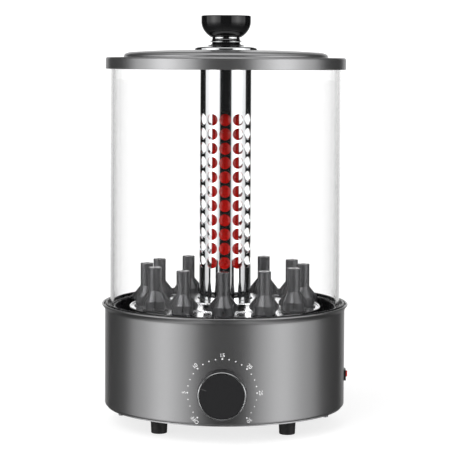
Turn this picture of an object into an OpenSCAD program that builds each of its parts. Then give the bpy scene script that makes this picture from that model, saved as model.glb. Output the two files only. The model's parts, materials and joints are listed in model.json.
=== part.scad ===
// Vertical skewer grill for the countertop: a round base with a timer knob and a side switch,
// a lift-out drip tray, a turntable with twelve geared skewer cups round a perforated heater
// column, a glass cylinder and a lift-off lid. Millimetres, +Z up, front towards -Y.
// The origin is on the column axis, on the surface that the feet stand on.

/* [Base shell] */
// Diameter of the base wall
body_d = 239.6; // [225:0.2:260]
// Height of the base wall, from its bottom edge to the lip
body_h = 100.4; // [96:0.2:130]
// Thickness of the pressed sheet of base and lid
sheet_t = 1.0; // [0.6:0.1:1.4]
// How far the lip stands out past the wall
lip_flare = 3.0; // [1.5:0.1:5]
// Height of the flared zone under the lip
lip_flare_h = 5.8; // [4:0.1:10]
// Thickness of the rolled lip
lip_roll_d = 2.0; // [1.4:0.1:2.6]
// Depth of the tray ledge under the lip
ledge_drop = 2.0; // [1.6:0.1:4]
// Radius of the rounded bottom edge
edge_round = 2.0; // [1:0.1:4]
// Width of the turned-in bottom flange
flange_w = 9.0; // [7:0.5:12]

/* [Base plate and feet] */
// Thickness of the base plate
plate_t = 1.2; // [0.8:0.1:2]
// Height of a rubber foot
foot_h = 17.6; // [14:0.2:26]
// Diameter of a foot at its top
foot_d = 17.0; // [15:0.5:24]
// Diameter of a foot at the floor
foot_tip_d = 15.4; // [12:0.2:20]
// Diameter of the circle that the feet stand on
foot_circle_d = 176; // [150:1:190]
// Diameter of the foot and deck screws
screw_d = 4.0; // [3:0.5:5]
// Number of vent slots on each side of the base plate
vent_n = 7; // [4:1:9]
// Width of a vent slot
vent_w = 3.0; // [2:0.5:4]
// Length of a vent slot
vent_len = 30; // [20:1:40]

/* [Deck] */
// Distance from the lip line down to the top of the deck
deck_drop = 25.8; // [24:0.1:40]
// Thickness of the deck
deck_t = 1.0; // [0.8:0.1:2]
// Diameter of the posts that carry the deck
post_d = 8.0; // [7:0.5:12]
// Diameter of the circle of the posts
post_circle_d = 196; // [186:1:206]

/* [Drip tray] */
// Thickness of the tray sheet
tray_t = 0.8; // [0.6:0.1:1.2]
// Depth of the tray well below its flange
tray_depth = 16.8; // [15:0.2:17]
// Diameter of the rolled bead on the tray rim
bead_d = 2.2; // [1.6:0.1:2.6]
// Height of the bead centre above the flange
bead_rise = 1.7; // [1.2:0.1:3]
// Gap between the bead and the lip
lip_gap = 1.3; // [0.8:0.1:2.5]
// Gap between the bead and the glass
glass_gap = 2.7; // [1.5:0.1:4]
// Step from the inside of the glass to the tray well
well_step = 1.2; // [0.8:0.1:3]
// Height of the tray's central collar above its floor
collar_h = 12.7; // [11:0.1:16]

/* [Glass and lid] */
// Wall thickness of the glass cylinder
glass_t = 3.0; // [2:0.1:5]
// Height of the glass cylinder
glass_h = 243.1; // [190:0.1:320]
// How far the lid rim laps over the glass
lid_lap = 8.6; // [5:0.1:14]
// Gap between the glass and the lid rim
lid_rim_gap = 3.8; // [1.5:0.1:6]
// Thickness of the lid seal
seal_t = 1.7; // [1:0.1:3]
// Radius of the rounded lid edge
lid_edge_round = 1.8; // [1:0.1:3]
// Diameter of the raised middle of the lid
plateau_d = 202.6; // [180:0.2:210]
// Height of the raised middle's shoulder above the lid's border
plateau_rise = 5.4; // [3:0.1:8]
// Width of the rounded shoulder of the raised middle
shoulder_w = 11.3; // [4:0.1:16]
// Height of the gentle crown inside the shoulder
crown_h = 2.0; // [1:0.1:4]

/* [Lid knob] */
// Diameter of the chrome plate under the knob
rose_d = 62.6; // [50:0.2:70]
// Height of the chrome plate
rose_h = 3.9; // [3:0.1:8]
// Diameter of the black collar at its foot
collar_d = 36.0; // [32:0.2:42]
// Height of the black collar
knob_collar_h = 3.9; // [3:0.1:7]
// Diameter of the chrome neck at its foot
neck_d = 33.6; // [30:0.2:36]
// Diameter of the chrome neck at its top
neck_top_d = 27.6; // [24:0.2:30]
// Height of the chrome neck
neck_h = 4.8; // [4:0.1:8]
// Diameter of the knob
lid_knob_d = 49.6; // [42:0.2:60]
// Height of the knob
lid_knob_h = 21.6; // [18:0.1:28]
// Height of the straight band at the knob's top
knob_band_h = 5.8; // [3:0.1:8]
// Depth that the knob's bowl curve would have if it closed on the axis
knob_bowl_h = 19.6; // [18.5:0.1:28]

/* [Heater column] */
// Outer diameter of the perforated column
column_d = 51.6; // [49:0.2:53]
// Wall thickness of the column
column_t = 0.8; // [0.6:0.1:1.2]
// Distance from the top of the glass down to the column's top edge
column_drop = 3.0; // [2:0.5:12]
// Diameter of a hole in the column
hole_d = 11.8; // [8:0.1:12.4]
// Height from one row of holes to the next
hole_pitch = 14.13; // [13:0.01:18]
// Number of holes round the column
holes_around = 12; // [8:1:12]
// Plain height between the turntable's hub and the first hole centre
hole_start = 37.7; // [20:0.1:50]
// Plain height above the last hole centre
hole_end = 54.0; // [20:0.5:80]
// Outer diameter of the quartz tube
quartz_d = 27.2; // [22:0.2:32]
// Wall thickness of the quartz tube
quartz_t = 1.2; // [1:0.1:2]
// Diameter of the heating coil, at its wire's centre
coil_d = 19.0; // [12:0.5:19]
// Diameter of the heating wire
wire_d = 1.4; // [1:0.1:2]
// Number of curls in the heating coil
coil_turns = 28; // [10:1:40]
// Thickness of the ceramic holders
ceramic_h = 12; // [10:0.5:16]

/* [Turntable] */
// Thickness of the turntable sheet
disc_t = 0.8; // [0.6:0.1:1.2]
// Free width of the tray well outside the turntable
trough_w = 14.0; // [8:0.5:20]
// Diameter of the rolled edge of the turntable
disc_bead_d = 1.8; // [1.6:0.1:2.4]
// Height of the rolled edge's centre above the turntable sheet
disc_bead_rise = 0.8; // [0.6:0.1:2]
// Distance from the turntable's edge in to the cup centres
cup_inset = 17.3; // [17:0.1:18]
// Outer diameter of the raised hub
hat_d = 92.0; // [86:0.5:96]
// Height of the raised hub above the turntable sheet
hat_h = 8.6; // [7:0.1:14]
// Gap between the column and the hub's hole
hat_gap = 1.7; // [1:0.1:1.9]

/* [Skewer cups] */
// Outer diameter of the cup's tube
cup_tube_d = 12.6; // [10:0.2:15]
// Length of the cup's tube
cup_tube_h = 23.1; // [16:0.1:32]
// Height of the cone under the tube
cup_cone_h = 10.2; // [7:0.1:14]
// Height of the round foot under the cone
cup_skirt_h = 8.8; // [6:0.1:12]
// Distance from a cup's axis to the end of a fin
fin_reach = 14.4; // [12.6:0.1:16]
// Thickness of a fin
fin_t = 1.5; // [1:0.1:2.5]
// Height of a fin's outer end
fin_end_h = 3.6; // [2:0.1:6]
// Diameter of the skewer socket
socket_d = 4.4; // [3:0.1:6]
// Depth of the skewer socket
socket_depth = 40; // [20:1:48]

/* [Planet gears] */
// Height of the gear teeth of sun gear and cups
gear_h = 6.0; // [4:0.1:6.2]
// Backlash on each side of a tooth
backlash = 0.12; // [0.08:0.01:0.2]
// Radial wall of the cup bushes
bush_wall = 1.2; // [1:0.1:1.6]
// Thickness of the bush flange
bush_flange_t = 1.0; // [0.6:0.1:1.6]
// Width of the sun gear's rim under its teeth
sun_rim_w = 6.0; // [4:0.5:12]
// Thickness of the sun gear's web
sun_web_t = 1.5; // [1:0.1:2]

/* [Drive] */
// Module of the drive gear and the motor pinion
drive_module = 1.2; // [1.15:0.01:1.25]
// Thickness of the drive gear
drive_gear_h = 4.0; // [3:0.1:4.6]
// Wall of the drive sleeve
sleeve_t = 2.0; // [1.6:0.1:2.4]
// Gap between the column and the drive sleeve
sleeve_gap = 1.2; // [1:0.1:1.6]
// Radial depth of the drive lugs
lug_depth = 2.6; // [2:0.1:3]
// Width of a drive lug
lug_w = 6.0; // [4:0.5:8]
// Diameter of the motor
motor_d = 50; // [40:1:56]
// Height of the motor
motor_h = 20; // [16:0.5:26]
// Diameter of the motor shaft
motor_shaft_d = 6; // [5:0.5:7]

/* [Timer] */
// Height of the timer knob's axis above the base wall's bottom edge
timer_rise = 30.4; // [28:0.2:50]
// Diameter of the timer knob at the wall
timer_knob_d = 47.4; // [40:0.2:54]
// Diameter of the timer knob at its face
timer_face_d = 45.4; // [38:0.2:48]
// Depth of the timer knob
timer_knob_h = 15.0; // [12:0.5:20]
// Width of the chrome ring on the timer knob
ring_w = 1.3; // [0.8:0.1:2]
// Width of the timer's case
timer_w = 46; // [36:1:50]
// Height of the timer's case
timer_case_h = 40; // [34:1:48]
// Depth of the timer's case
timer_depth = 28; // [20:1:36]
// Diameter of the timer shaft
timer_shaft_d = 6.0; // [5:0.5:7]
// Angle of the pointer from straight up at rest, anticlockwise
pointer_angle = 70.6; // [0:0.1:135]

/* [Switch] */
// Height of the switch's centre above the base wall's bottom edge
switch_rise = 29.2; // [24:0.2:50]
// Length of the switch bezel round the wall
switch_len = 15.0; // [13:0.2:20]
// Height of the switch bezel
switch_high = 10.4; // [9:0.2:14]
// How far the bezel stands out of the wall
switch_out = 1.8; // [1.2:0.1:2.4]
// Tilt of the rocker from its middle position
rocker_tilt = 11; // [8:0.5:14]

/* [Power inlet] */
// Height of the inlet's centre above the base wall's bottom edge
inlet_rise = 29.2; // [26:0.2:50]
// Width of the inlet's shroud
inlet_w = 28.0; // [26:0.2:34]
// Height of the inlet's shroud
inlet_high = 20.4; // [19:0.2:26]
// How far the inlet's shroud stands out of the wall
inlet_out = 13.0; // [8:0.5:13.6]
// Wall of the inlet's shroud
inlet_wall = 1.8; // [1.4:0.1:2.4]
// Depth of the socket in the inlet
inlet_depth = 17.0; // [14:0.5:20]
// Diameter of the inlet's screws
inlet_screw_d = 3.0; // [2.5:0.1:3.5]

/* [Clearances] */
// Gap between parts that rest on each other and lift apart
seat_gap = 0.3; // [0.2:0.05:0.5]
// Radial clearance of a shaft that turns in its bearing
run_gap = 0.08; // [0.05:0.01:0.1]
// Radial clearance of a part that is fixed in its hole
fit_gap = 0.1; // [0.05:0.01:0.2]
// Gap between parts that pass each other
pass_gap = 0.4; // [0.3:0.05:0.6]

/* [Hidden] */
$fn = 96;
small_fn = 32;
eps = 0.01;

// How far a cutter runs past the faces that it cuts
cut = 1.0;

// Screws and nuts: their sizes as parts of the shank's diameter
head_width = 2.0;
head_top_width = 1.7;
head_height = 0.6;
recess_length = 1.5;
recess_width = 0.2;
recess_depth = 0.25;
nut_width = 1.9;
nut_height = 0.8;
screw_r = screw_d / 2;
head_r = screw_d * head_width / 2;
nut_r = screw_d * nut_width / 2;
nut_t = screw_d * nut_height;
post_thread = 8;

// Base
body_r = body_d / 2;
wall_in = body_r - sheet_t;
shell_z = foot_h + plate_t;
lip_z = shell_z + body_h;
lip_r = body_r + lip_flare;
roll_r = lip_roll_d / 2;
roll_c = lip_r - roll_r;
ledge_z = lip_z - ledge_drop;
flange_in = body_r - flange_w;
plate_r = body_r - edge_round;
deck_z = lip_z - deck_drop;
deck_under = deck_z - deck_t;
deck_r = wall_in - seat_gap;
post_r = post_circle_d / 2;
foot_r = foot_circle_d / 2;
foot_recess = 1.0;
rim_screw_r = body_r - flange_w / 2 - sheet_t / 2;
rim_screw_d = 3.0;
rim_hole_r = rim_screw_d / 2 + fit_gap;
rim_thread = 4;
screw_hole_r = screw_r + fit_gap;
foot_angles = [45, 135, 225, 315];
post_angles = [20, 160, 200, 340];
rim_angles = [90, 210, 330];
flange_angles = [0, 120, 240];

// Drip tray
tray_r = roll_c - roll_r - lip_gap;
bead_r = bead_d / 2;
bead_c = tray_r - bead_r;
tray_z = ledge_z + seat_gap;
tray_top = tray_z + tray_t;
glass_r = tray_r - bead_d - glass_gap;
glass_in = glass_r - glass_t;
well_r = glass_in - well_step;
well_taper = 1.0;
well_corner = 4.0;
floor_z = tray_z - tray_depth;
floor_top = floor_z + tray_t;
collar_z = floor_z + collar_h;

// Glass and lid
glass_z = tray_top + seat_gap;
glass_top = glass_z + glass_h;
glass_edge = 0.6;
lid_r = glass_r + lid_rim_gap + sheet_t;
rim_z = glass_top - lid_lap;
lid_under = glass_top + seat_gap + seal_t;
lid_z = lid_under + sheet_t;
plateau_r = plateau_d / 2;
shoulder_z = lid_z + plateau_rise;
plateau_z = shoulder_z + crown_h;
plateau_step = 1.8;
seal_overhang = 1;
seal_w = glass_t + 2 * seal_overhang;

// Lid knob, a stack on the lid's middle
rose_z = plateau_z + rose_h;
lid_collar_z = rose_z + knob_collar_h;
neck_z = lid_collar_z + neck_h;
knob_top = neck_z + lid_knob_h;
rose_r = rose_d / 2;
collar_r = collar_d / 2;
neck_r = neck_d / 2;
neck_top_r = neck_top_d / 2;
knob_r = lid_knob_d / 2;
knob_screw_d = 5;
knob_screw_in = 12;
knob_hole_r = knob_screw_d / 2 + fit_gap;

// Column
column_r = column_d / 2;
column_in = column_r - column_t;
column_z = deck_z;
column_top = glass_top - column_drop;
quartz_r = quartz_d / 2;
quartz_in = quartz_r - quartz_t;
ceramic_r = column_in - fit_gap;
ceramic_seat = 4;
cap_t = 1.2;

// Drive sleeve, lugs, hub and collar, from the column outwards
sleeve_in = column_r + sleeve_gap;
sleeve_r = sleeve_in + sleeve_t;
lug_r = sleeve_r + lug_depth;
hub_in = sleeve_r + pass_gap;
notch_r = lug_r + pass_gap;
collar_clear = 2.4;
collar_in = lug_r + collar_clear;
tray_collar_r = collar_in + tray_t;
hub_sleeve_in = tray_collar_r + run_gap;
hub_sleeve_t = 2.5;
hub_sleeve_h = 8;
hub_sleeve_r = hub_sleeve_in + hub_sleeve_t;
lug_n = 3;

// Turntable
hub_z = collar_z + seat_gap;
hub_step = 1.3;
disc_z = hub_z + hub_step;
disc_top = disc_z + disc_t;
disc_r = well_r - trough_w - tray_t;
disc_bead_r = disc_bead_d / 2;
hat_r = hat_d / 2;
hat_top = disc_top + hat_h;
hat_in = column_r + hat_gap;
hub_r = hat_r - disc_t;
hub_screw_r = (hub_sleeve_r + hub_r) / 2;
hub_screw_angles = [60, 180, 300];
cup_circle = disc_r - cup_inset;
cup_n = 12;
cup_angles = [for (i = [0:cup_n - 1]) 360 * i / cup_n - 90];
hole_z = hat_top + hole_start;
hole_start_r = sqrt(pow(column_in, 2) - pow(hole_d / 2, 2)) - seat_gap;
hole_rows = floor((column_top - hole_end - hole_z) / hole_pitch + eps) + 1;

// Planet gears: the module follows the cup circle
pinion_teeth = 12;
sun_teeth = 96;
planet_module = 2 * cup_circle / (sun_teeth + pinion_teeth);
pressure = 25;
addendum = 0.8;
dedendum = 1.1;
pinion_tip = planet_module * (pinion_teeth / 2 + addendum);
sun_root = planet_module * (sun_teeth / 2 - dedendum);
journal_r = pinion_tip + 0.2;
bush_in = journal_r + run_gap;
bush_r = bush_in + bush_wall;
disc_hole_r = bush_r + fit_gap;
bush_flange_r = bush_r + bush_wall;
bush_below = 3.0;
cup_foot_z = disc_top + bush_flange_t + seat_gap;
cup_foot_inset = 1.6;
cup_foot_r = bush_flange_r - cup_foot_inset;
cup_cone_z = cup_foot_z + cup_skirt_h;
cup_tube_z = cup_cone_z + cup_cone_h;
cup_top = cup_tube_z + cup_tube_h;
cup_tube_r = cup_tube_d / 2;
fin_n = 4;
gear_lift = 3.4;
gear_z = floor_top + gear_lift;
gear_top = gear_z + gear_h;
sun_in = hub_sleeve_r + 1.0;
sun_rim_in = sun_root - sun_rim_w;
rivet_r = (sun_in + sun_rim_in) / 2;
rivet_angles = [0, 120, 240];

// Drive gear and motor
drive_teeth = 72;
motor_teeth = 12;
flange_t = 1.5;
drive_z = deck_z + flange_t + seat_gap;
drive_root = drive_module * (drive_teeth / 2 - dedendum);
motor_x = -drive_module * (drive_teeth + motor_teeth) / 2;
flange_boss_r = sleeve_in - run_gap;
flange_boss_in = column_r + fit_gap;
flange_boss_h = 5.0;
flange_r = flange_boss_r + 8;
flange_screw_r = (flange_boss_r + flange_r) / 2;
drive_rim = 2;
lug_z = hub_z + pass_gap;
lug_h = 3.9;
lug_top = lug_z + lug_h;
motor_z = deck_under - motor_h;
motor_shaft_r = motor_shaft_d / 2;
ear_w = 12;
ear_t = 1.5;
ear_reach = motor_d / 2 + ear_w / 2;
motor_bore = 8;
shaft_gap = 2;

// Timer
timer_z = shell_z + timer_rise;
timer_y = -sqrt(pow(wall_in, 2) - pow(timer_w / 2, 2)) + fit_gap;
timer_bush_r = 5.0;
timer_nut_r = 8.0;
timer_nut_t = 2.5;
timer_shaft_r = timer_shaft_d / 2;
timer_knob_back = body_r + pass_gap;
timer_knob_r = timer_knob_d / 2;
timer_face_r = timer_face_d / 2;
timer_shaft_in = timer_knob_h - 3;
ring_h = 1.6;
knob_hollow_r = timer_nut_r + 3;
knob_hollow_h = 7.0;

// Switch
switch_z = shell_z + switch_rise;
switch_wall = 0.9;
switch_deep = 12;
switch_face = body_r + switch_out;
rocker_half = switch_len / 2 - 2 * switch_wall - pass_gap;
rocker_high = switch_high - 4 * switch_wall - 2 * pass_gap;
rocker_x = switch_face - rocker_half * tan(rocker_tilt);

// Inlet
inlet_z = shell_z + inlet_rise;
inlet_face = body_r + inlet_out;
inlet_floor = inlet_face - inlet_depth;
inlet_ear = 8.0;
inlet_plate_t = 3.0;
inlet_sag = 6;
inlet_back = inlet_floor - inlet_sag;
inlet_thread = 7;
inlet_screw_x = (inlet_w + inlet_ear) / 2;
pin_x = 7.0;
pin_step = 2.0;
pin_w = 2.0;
pin_high = 4.0;
pin_recess = 2.5;
tab_len = 8.0;
pin_places = [[-pin_x, -pin_step], [pin_x, -pin_step], [0, pin_step]];

gunmetal = "#6d6e70";
black = "#18181a";
bright = "#d4d6d8";
steel = "#a9acb0";
cup_grey = "#48494b";

// Points of an arc: centre, radius, first and last angle, steps
function arc(cx, cy, r, a0, a1, n) =
    [for (i = [0:n]) let (a = a0 + (a1 - a0) * i / n) [cx + r * cos(a), cy + r * sin(a)]];

// Points of a quarter ellipse: centre, half widths, first and last angle, steps
function oval(cx, cy, rx, ry, a0, a1, n) =
    [for (i = [0:n]) let (a = a0 + (a1 - a0) * i / n) [cx + rx * cos(a), cy + ry * sin(a)]];

// Involute angle, in degrees, of a pressure angle
function inv(a) = tan(a) * 180 / PI - a;

// Half the angle that a tooth covers at radius r
function tooth_half(teeth, mod, r) =
    let (rp = mod * teeth / 2, rb = rp * cos(pressure))
    90 / teeth - backlash / rp * 180 / PI + inv(pressure) - inv(acos(min(1, rb / r)));

// Outline of a gear, with a tooth centred on +X turned by phase
function gear_outline(teeth, mod, phase, steps) =
    let (rp = mod * teeth / 2, tip = rp + addendum * mod, root = rp - dedendum * mod,
        start = max(rp * cos(pressure), root))
    [for (i = [0:teeth - 1], side = [-1, 1], s = [0:steps + 1])
        let (up = side < 0 ? s : steps + 1 - s,
            r = up == 0 ? root : start + (tip - start) * (up - 1) / steps,
            half = tooth_half(teeth, mod, max(r, start)),
            a = phase + 360 * i / teeth + side * half)
        [r * cos(a), r * sin(a)]];

module gear(teeth, mod, phase, thick, steps) {
    linear_extrude(thick) polygon(gear_outline(teeth, mod, phase, steps));
}

module tube(r_out, r_in, h) {
    difference() {
        cylinder(r = r_out, h = h);
        translate([0, 0, -eps]) cylinder(r = r_in, h = h + 2 * eps);
    }
}

module at_angles(list, r) {
    for (a = list) rotate([0, 0, a]) translate([r, 0, 0]) children();
}

// Cutter for a round hole through a sheet that lies from z to z + h
module drill(r, z, h) {
    translate([0, 0, z - cut]) cylinder(r = r, h = h + 2 * cut, $fn = small_fn);
}

// A pan-head screw along +Z, its head's seat at the origin and its head below
module screw(d, len) {
    cylinder(d = d, h = len, $fn = small_fn);
    difference() {
        translate([0, 0, -d * head_height])
            cylinder(d1 = d * head_top_width, d2 = d * head_width, h = d * head_height, $fn = small_fn);
        for (turn = [0, 90]) rotate([0, 0, turn])
            translate([-d * recess_length / 2, -d * recess_width / 2, -d * head_height - eps])
                cube([d * recess_length, d * recess_width, d * recess_depth]);
    }
}

// Base shell: drawn drum with a flared and rolled lip and an inner ledge for the tray
module base_shell() {
    ledge_in = well_r + pass_gap + sheet_t;
    flare_steps = 6;
    flare = lip_flare - roll_r * 0.6;
    function flare_x(i) = body_r + flare * (1 - cos(90 * i / flare_steps));
    function flare_z(i) = lip_z - lip_flare_h + (lip_flare_h - roll_r) * i / flare_steps;
    outside = concat(
        [[flange_in, shell_z]],
        arc(body_r - edge_round, shell_z + edge_round, edge_round, -90, 0, 6),
        [for (i = [0:flare_steps]) [flare_x(i), flare_z(i)]]);
    inside = concat(
        [for (i = [flare_steps:-1:0]) [flare_x(i) - sheet_t, flare_z(i)]],
        [[wall_in, shell_z + edge_round]],
        arc(body_r - edge_round, shell_z + edge_round, edge_round - sheet_t, 0, -90, 6),
        [[flange_in, shell_z + sheet_t]]);
    color(gunmetal) difference() {
        union() {
            rotate_extrude() polygon(concat(outside, inside));
            rotate_extrude() translate([roll_c, lip_z]) circle(r = roll_r, $fn = small_fn);
            rotate_extrude() polygon([[ledge_in, ledge_z - sheet_t], [roll_c - roll_r * 0.5,
                ledge_z - sheet_t], [roll_c + roll_r * 0.5, lip_z - roll_r * 0.5],
                [roll_c - roll_r, lip_z], [roll_c - roll_r, ledge_z], [ledge_in, ledge_z]]);
        }
        translate([0, -wall_in + sheet_t * 3, timer_z]) rotate([90, 0, 0])
            cylinder(r = timer_bush_r + fit_gap, h = sheet_t * 6, $fn = small_fn);
        translate([wall_in - sheet_t * 3, -switch_len / 2 + switch_wall - fit_gap,
            switch_z - switch_high / 2 + switch_wall - fit_gap])
            cube([sheet_t * 6, switch_len - 2 * switch_wall + 2 * fit_gap,
                switch_high - 2 * switch_wall + 2 * fit_gap]);
        translate([-inlet_w / 2 - fit_gap, wall_in - sheet_t * 3,
            inlet_z - inlet_high / 2 - fit_gap])
            cube([inlet_w + 2 * fit_gap, sheet_t * 6, inlet_high + 2 * fit_gap]);
        for (side = [-1, 1])
            translate([side * inlet_screw_x, body_r, inlet_z]) rotate([90, 0, 0])
                drill(inlet_screw_d / 2 + fit_gap, 0, inlet_sag);
        at_angles(rim_angles, rim_screw_r) drill(rim_hole_r, shell_z, sheet_t);
    }
}

// Base plate with vent slots
module base_plate() {
    color(steel) difference() {
        translate([0, 0, foot_h]) cylinder(r = plate_r, h = plate_t);
        at_angles(foot_angles, foot_r) drill(screw_hole_r, foot_h, plate_t);
        at_angles(post_angles, post_r) drill(screw_hole_r, foot_h, plate_t);
        at_angles(rim_angles, rim_screw_r) drill(rim_hole_r, foot_h, plate_t);
        for (side = [-1, 1], i = [0:vent_n - 1])
            translate([(i - (vent_n - 1) / 2) * vent_w * 3 - vent_w / 2,
                side * plate_r / 2 - vent_len / 2, foot_h - cut])
                cube([vent_w, vent_len, plate_t + 2 * cut]);
    }
}

// Four rubber feet, each with a sunk seat for its screw
module feet() {
    color(black) at_angles(foot_angles, foot_r) difference() {
        cylinder(d1 = foot_tip_d, d2 = foot_d, h = foot_h, $fn = 64);
        translate([0, 0, -eps])
            cylinder(r = head_r + foot_recess, h = foot_h / 2 + eps, $fn = small_fn);
        drill(screw_hole_r, 0, foot_h);
    }
}

// Foot screws and their nuts
module foot_screws() {
    color(steel) at_angles(foot_angles, foot_r) {
        translate([0, 0, foot_h / 2]) screw(screw_d, shell_z + nut_t + cut - foot_h / 2);
        translate([0, 0, shell_z]) cylinder(r = nut_r, h = nut_t, $fn = 6);
    }
}

// Screws that join the shell's bottom flange to the plate, and the plate to the posts
module plate_screws() {
    color(steel) {
        at_angles(rim_angles, rim_screw_r) translate([0, 0, foot_h])
            screw(rim_screw_d, plate_t + sheet_t + rim_thread);
        at_angles(post_angles, post_r) translate([0, 0, foot_h])
            screw(screw_d, plate_t + post_thread);
    }
}

// Deck: the steel plate under the tray that carries the column, the motor and the cut-out
module deck_plate() {
    color(steel) difference() {
        translate([0, 0, deck_under]) cylinder(r = deck_r, h = deck_t);
        drill(column_in - ceramic_seat, deck_under, deck_t);
        translate([motor_x, 0, 0]) drill(motor_shaft_r + shaft_gap, deck_under, deck_t);
        for (side = [-1, 1]) translate([motor_x, side * ear_reach, 0])
            drill(screw_hole_r, deck_under, deck_t);
        at_angles(post_angles, post_r) drill(screw_hole_r, deck_under, deck_t);
        at_angles(flange_angles, flange_screw_r) drill(rim_hole_r, deck_under, deck_t);
    }
}

// Posts between plate and deck, tapped at both ends
module deck_posts() {
    color(steel) at_angles(post_angles, post_r) translate([0, 0, shell_z])
        tube(post_d / 2, screw_hole_r, deck_under - shell_z);
}

// Screws from above: four into the posts, three through the column's flange
module deck_screws() {
    color(steel) {
        at_angles(post_angles, post_r) translate([0, 0, deck_z]) mirror([0, 0, 1])
            screw(screw_d, deck_t + post_thread);
        at_angles(flange_angles, flange_screw_r) translate([0, 0, deck_under])
            screw(rim_screw_d, deck_t + flange_t);
    }
}

// Flange that holds the column's foot and carries the drive gear on its boss
module column_flange() {
    color(steel) translate([0, 0, deck_z]) difference() {
        union() {
            cylinder(r = flange_r, h = flange_t);
            cylinder(r = flange_boss_r, h = flange_t + flange_boss_h);
        }
        translate([0, 0, -eps])
            cylinder(r = flange_boss_in, h = flange_t + flange_boss_h + 2 * eps);
        at_angles(flange_angles, flange_screw_r) drill(rim_hole_r, 0, flange_t);
    }
}

// Perforated column round the heater
module column_guard() {
    color(bright) difference() {
        translate([0, 0, column_z]) tube(column_r, column_in, column_top - column_z);
        for (row = [0:hole_rows - 1], i = [0:holes_around - 1])
            rotate([0, 0, 360 * i / holes_around - 90])
                translate([hole_start_r, 0, hole_z + row * hole_pitch]) rotate([0, 90, 0])
                    cylinder(d = hole_d, h = column_r - hole_start_r + cut, $fn = small_fn);
    }
}

// Cap on the column's top, with vent holes
module column_cap() {
    skirt_h = 4;
    vent_r = 2.5;
    color(bright) difference() {
        union() {
            translate([0, 0, column_top]) cylinder(r = column_r, h = cap_t);
            translate([0, 0, column_top - skirt_h])
                cylinder(r = column_in - fit_gap, h = skirt_h);
        }
        translate([0, 0, column_top - skirt_h - cut])
            cylinder(r = column_in - cap_t, h = skirt_h + cut);
        at_angles([for (i = [0:5]) 60 * i], column_r * 0.55) drill(vent_r, column_top, cap_t);
    }
}

quartz_end = ceramic_h * 1.6;
quartz_z = hole_z - hole_d / 2 - quartz_end;
quartz_top = hole_z + (hole_rows - 1) * hole_pitch + hole_d / 2 + quartz_end;
rod_r = 1.6;
rod_hole_r = rod_r + fit_gap;
rod_in = 3;
rod_out = 6;
lead_r = (quartz_r + ceramic_r) / 2;
lead_angle = 75;

// Ceramic holders that centre the quartz tube in the column, at its foot and its head
module ceramic_holders() {
    color("#e8e4da") {
        difference() {
            translate([0, 0, quartz_z + ceramic_seat - ceramic_h])
                cylinder(r = ceramic_r, h = ceramic_h);
            translate([0, 0, quartz_z]) cylinder(r = quartz_r + fit_gap, h = ceramic_h);
            translate([coil_d / 2, 0, quartz_z - ceramic_h])
                cylinder(r = rod_hole_r, h = ceramic_h * 2, $fn = small_fn);
            rotate([0, 0, lead_angle]) translate([lead_r, 0, quartz_z - ceramic_h])
                cylinder(r = rod_hole_r, h = ceramic_h * 2, $fn = small_fn);
        }
        difference() {
            translate([0, 0, quartz_top - ceramic_seat]) cylinder(r = ceramic_r, h = ceramic_h);
            translate([0, 0, quartz_top - ceramic_h])
                cylinder(r = quartz_r + fit_gap, h = ceramic_h);
            translate([coil_d / 2, 0, quartz_top - ceramic_seat])
                cylinder(r = rod_hole_r, h = ceramic_h * 2, $fn = small_fn);
            rotate([0, 0, lead_angle]) translate([lead_r, 0, quartz_top - ceramic_h])
                cylinder(r = rod_hole_r, h = ceramic_h * 2, $fn = small_fn);
        }
    }
}

// Red quartz tube of the heater
module quartz_tube() {
    color("#a01208") translate([0, 0, quartz_z]) tube(quartz_r, quartz_in, quartz_top - quartz_z);
}

// Terminal rods of the coil and the lead that comes back down beside the quartz tube
module heater_rods() {
    foot_z = quartz_z + ceramic_seat - ceramic_h - rod_out;
    head_z = quartz_top - ceramic_seat + ceramic_h + rod_out / 3;
    color(steel) {
        translate([coil_d / 2, 0, foot_z])
            cylinder(r = rod_r, h = coil_z0 - foot_z, $fn = small_fn);
        translate([coil_d / 2, 0, coil_z1])
            cylinder(r = rod_r, h = head_z - coil_z1, $fn = small_fn);
        rotate([0, 0, lead_angle]) translate([lead_r, 0, foot_z])
            cylinder(r = rod_r, h = head_z - foot_z, $fn = small_fn);
    }
}

// Heating coil: one wire with straight ends and curls of even pitch
coil_rings = 8;
coil_sides = 6;
coil_z0 = quartz_z + rod_in;
coil_z1 = quartz_top - rod_in;
coil_lead = wire_d * 2;
coil_count = coil_turns * coil_rings;
function coil_point(i) =
    i < 0 ? [coil_d / 2, 0, coil_z0] :
    i > coil_count ? [coil_d / 2, 0, coil_z1] :
    let (a = 360 * i / coil_rings)
    [coil_d / 2 * cos(a), coil_d / 2 * sin(a),
        coil_z0 + coil_lead + (coil_z1 - coil_z0 - 2 * coil_lead) * i / coil_count];
function unit(v) = v / norm(v);
function coil_tangent(i) =
    i < 0 || i > coil_count ? [0, 0, 1] : unit(coil_point(i + 1) - coil_point(i - 1));
coil_points = [for (i = [-1:coil_count + 1]) let (p = coil_point(i), t = coil_tangent(i),
    out = unit([cos(360 * i / coil_rings), sin(360 * i / coil_rings), 0]),
    radial = i < 0 || i > coil_count ? [1, 0, 0] : unit(out - (out * t) * t), side = cross(t, radial))
    for (k = [0:coil_sides - 1]) let (b = 360 * k / coil_sides)
        p + wire_d / 2 * (cos(b) * radial + sin(b) * side)];
coil_last = (coil_count + 2) * coil_sides;
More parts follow.
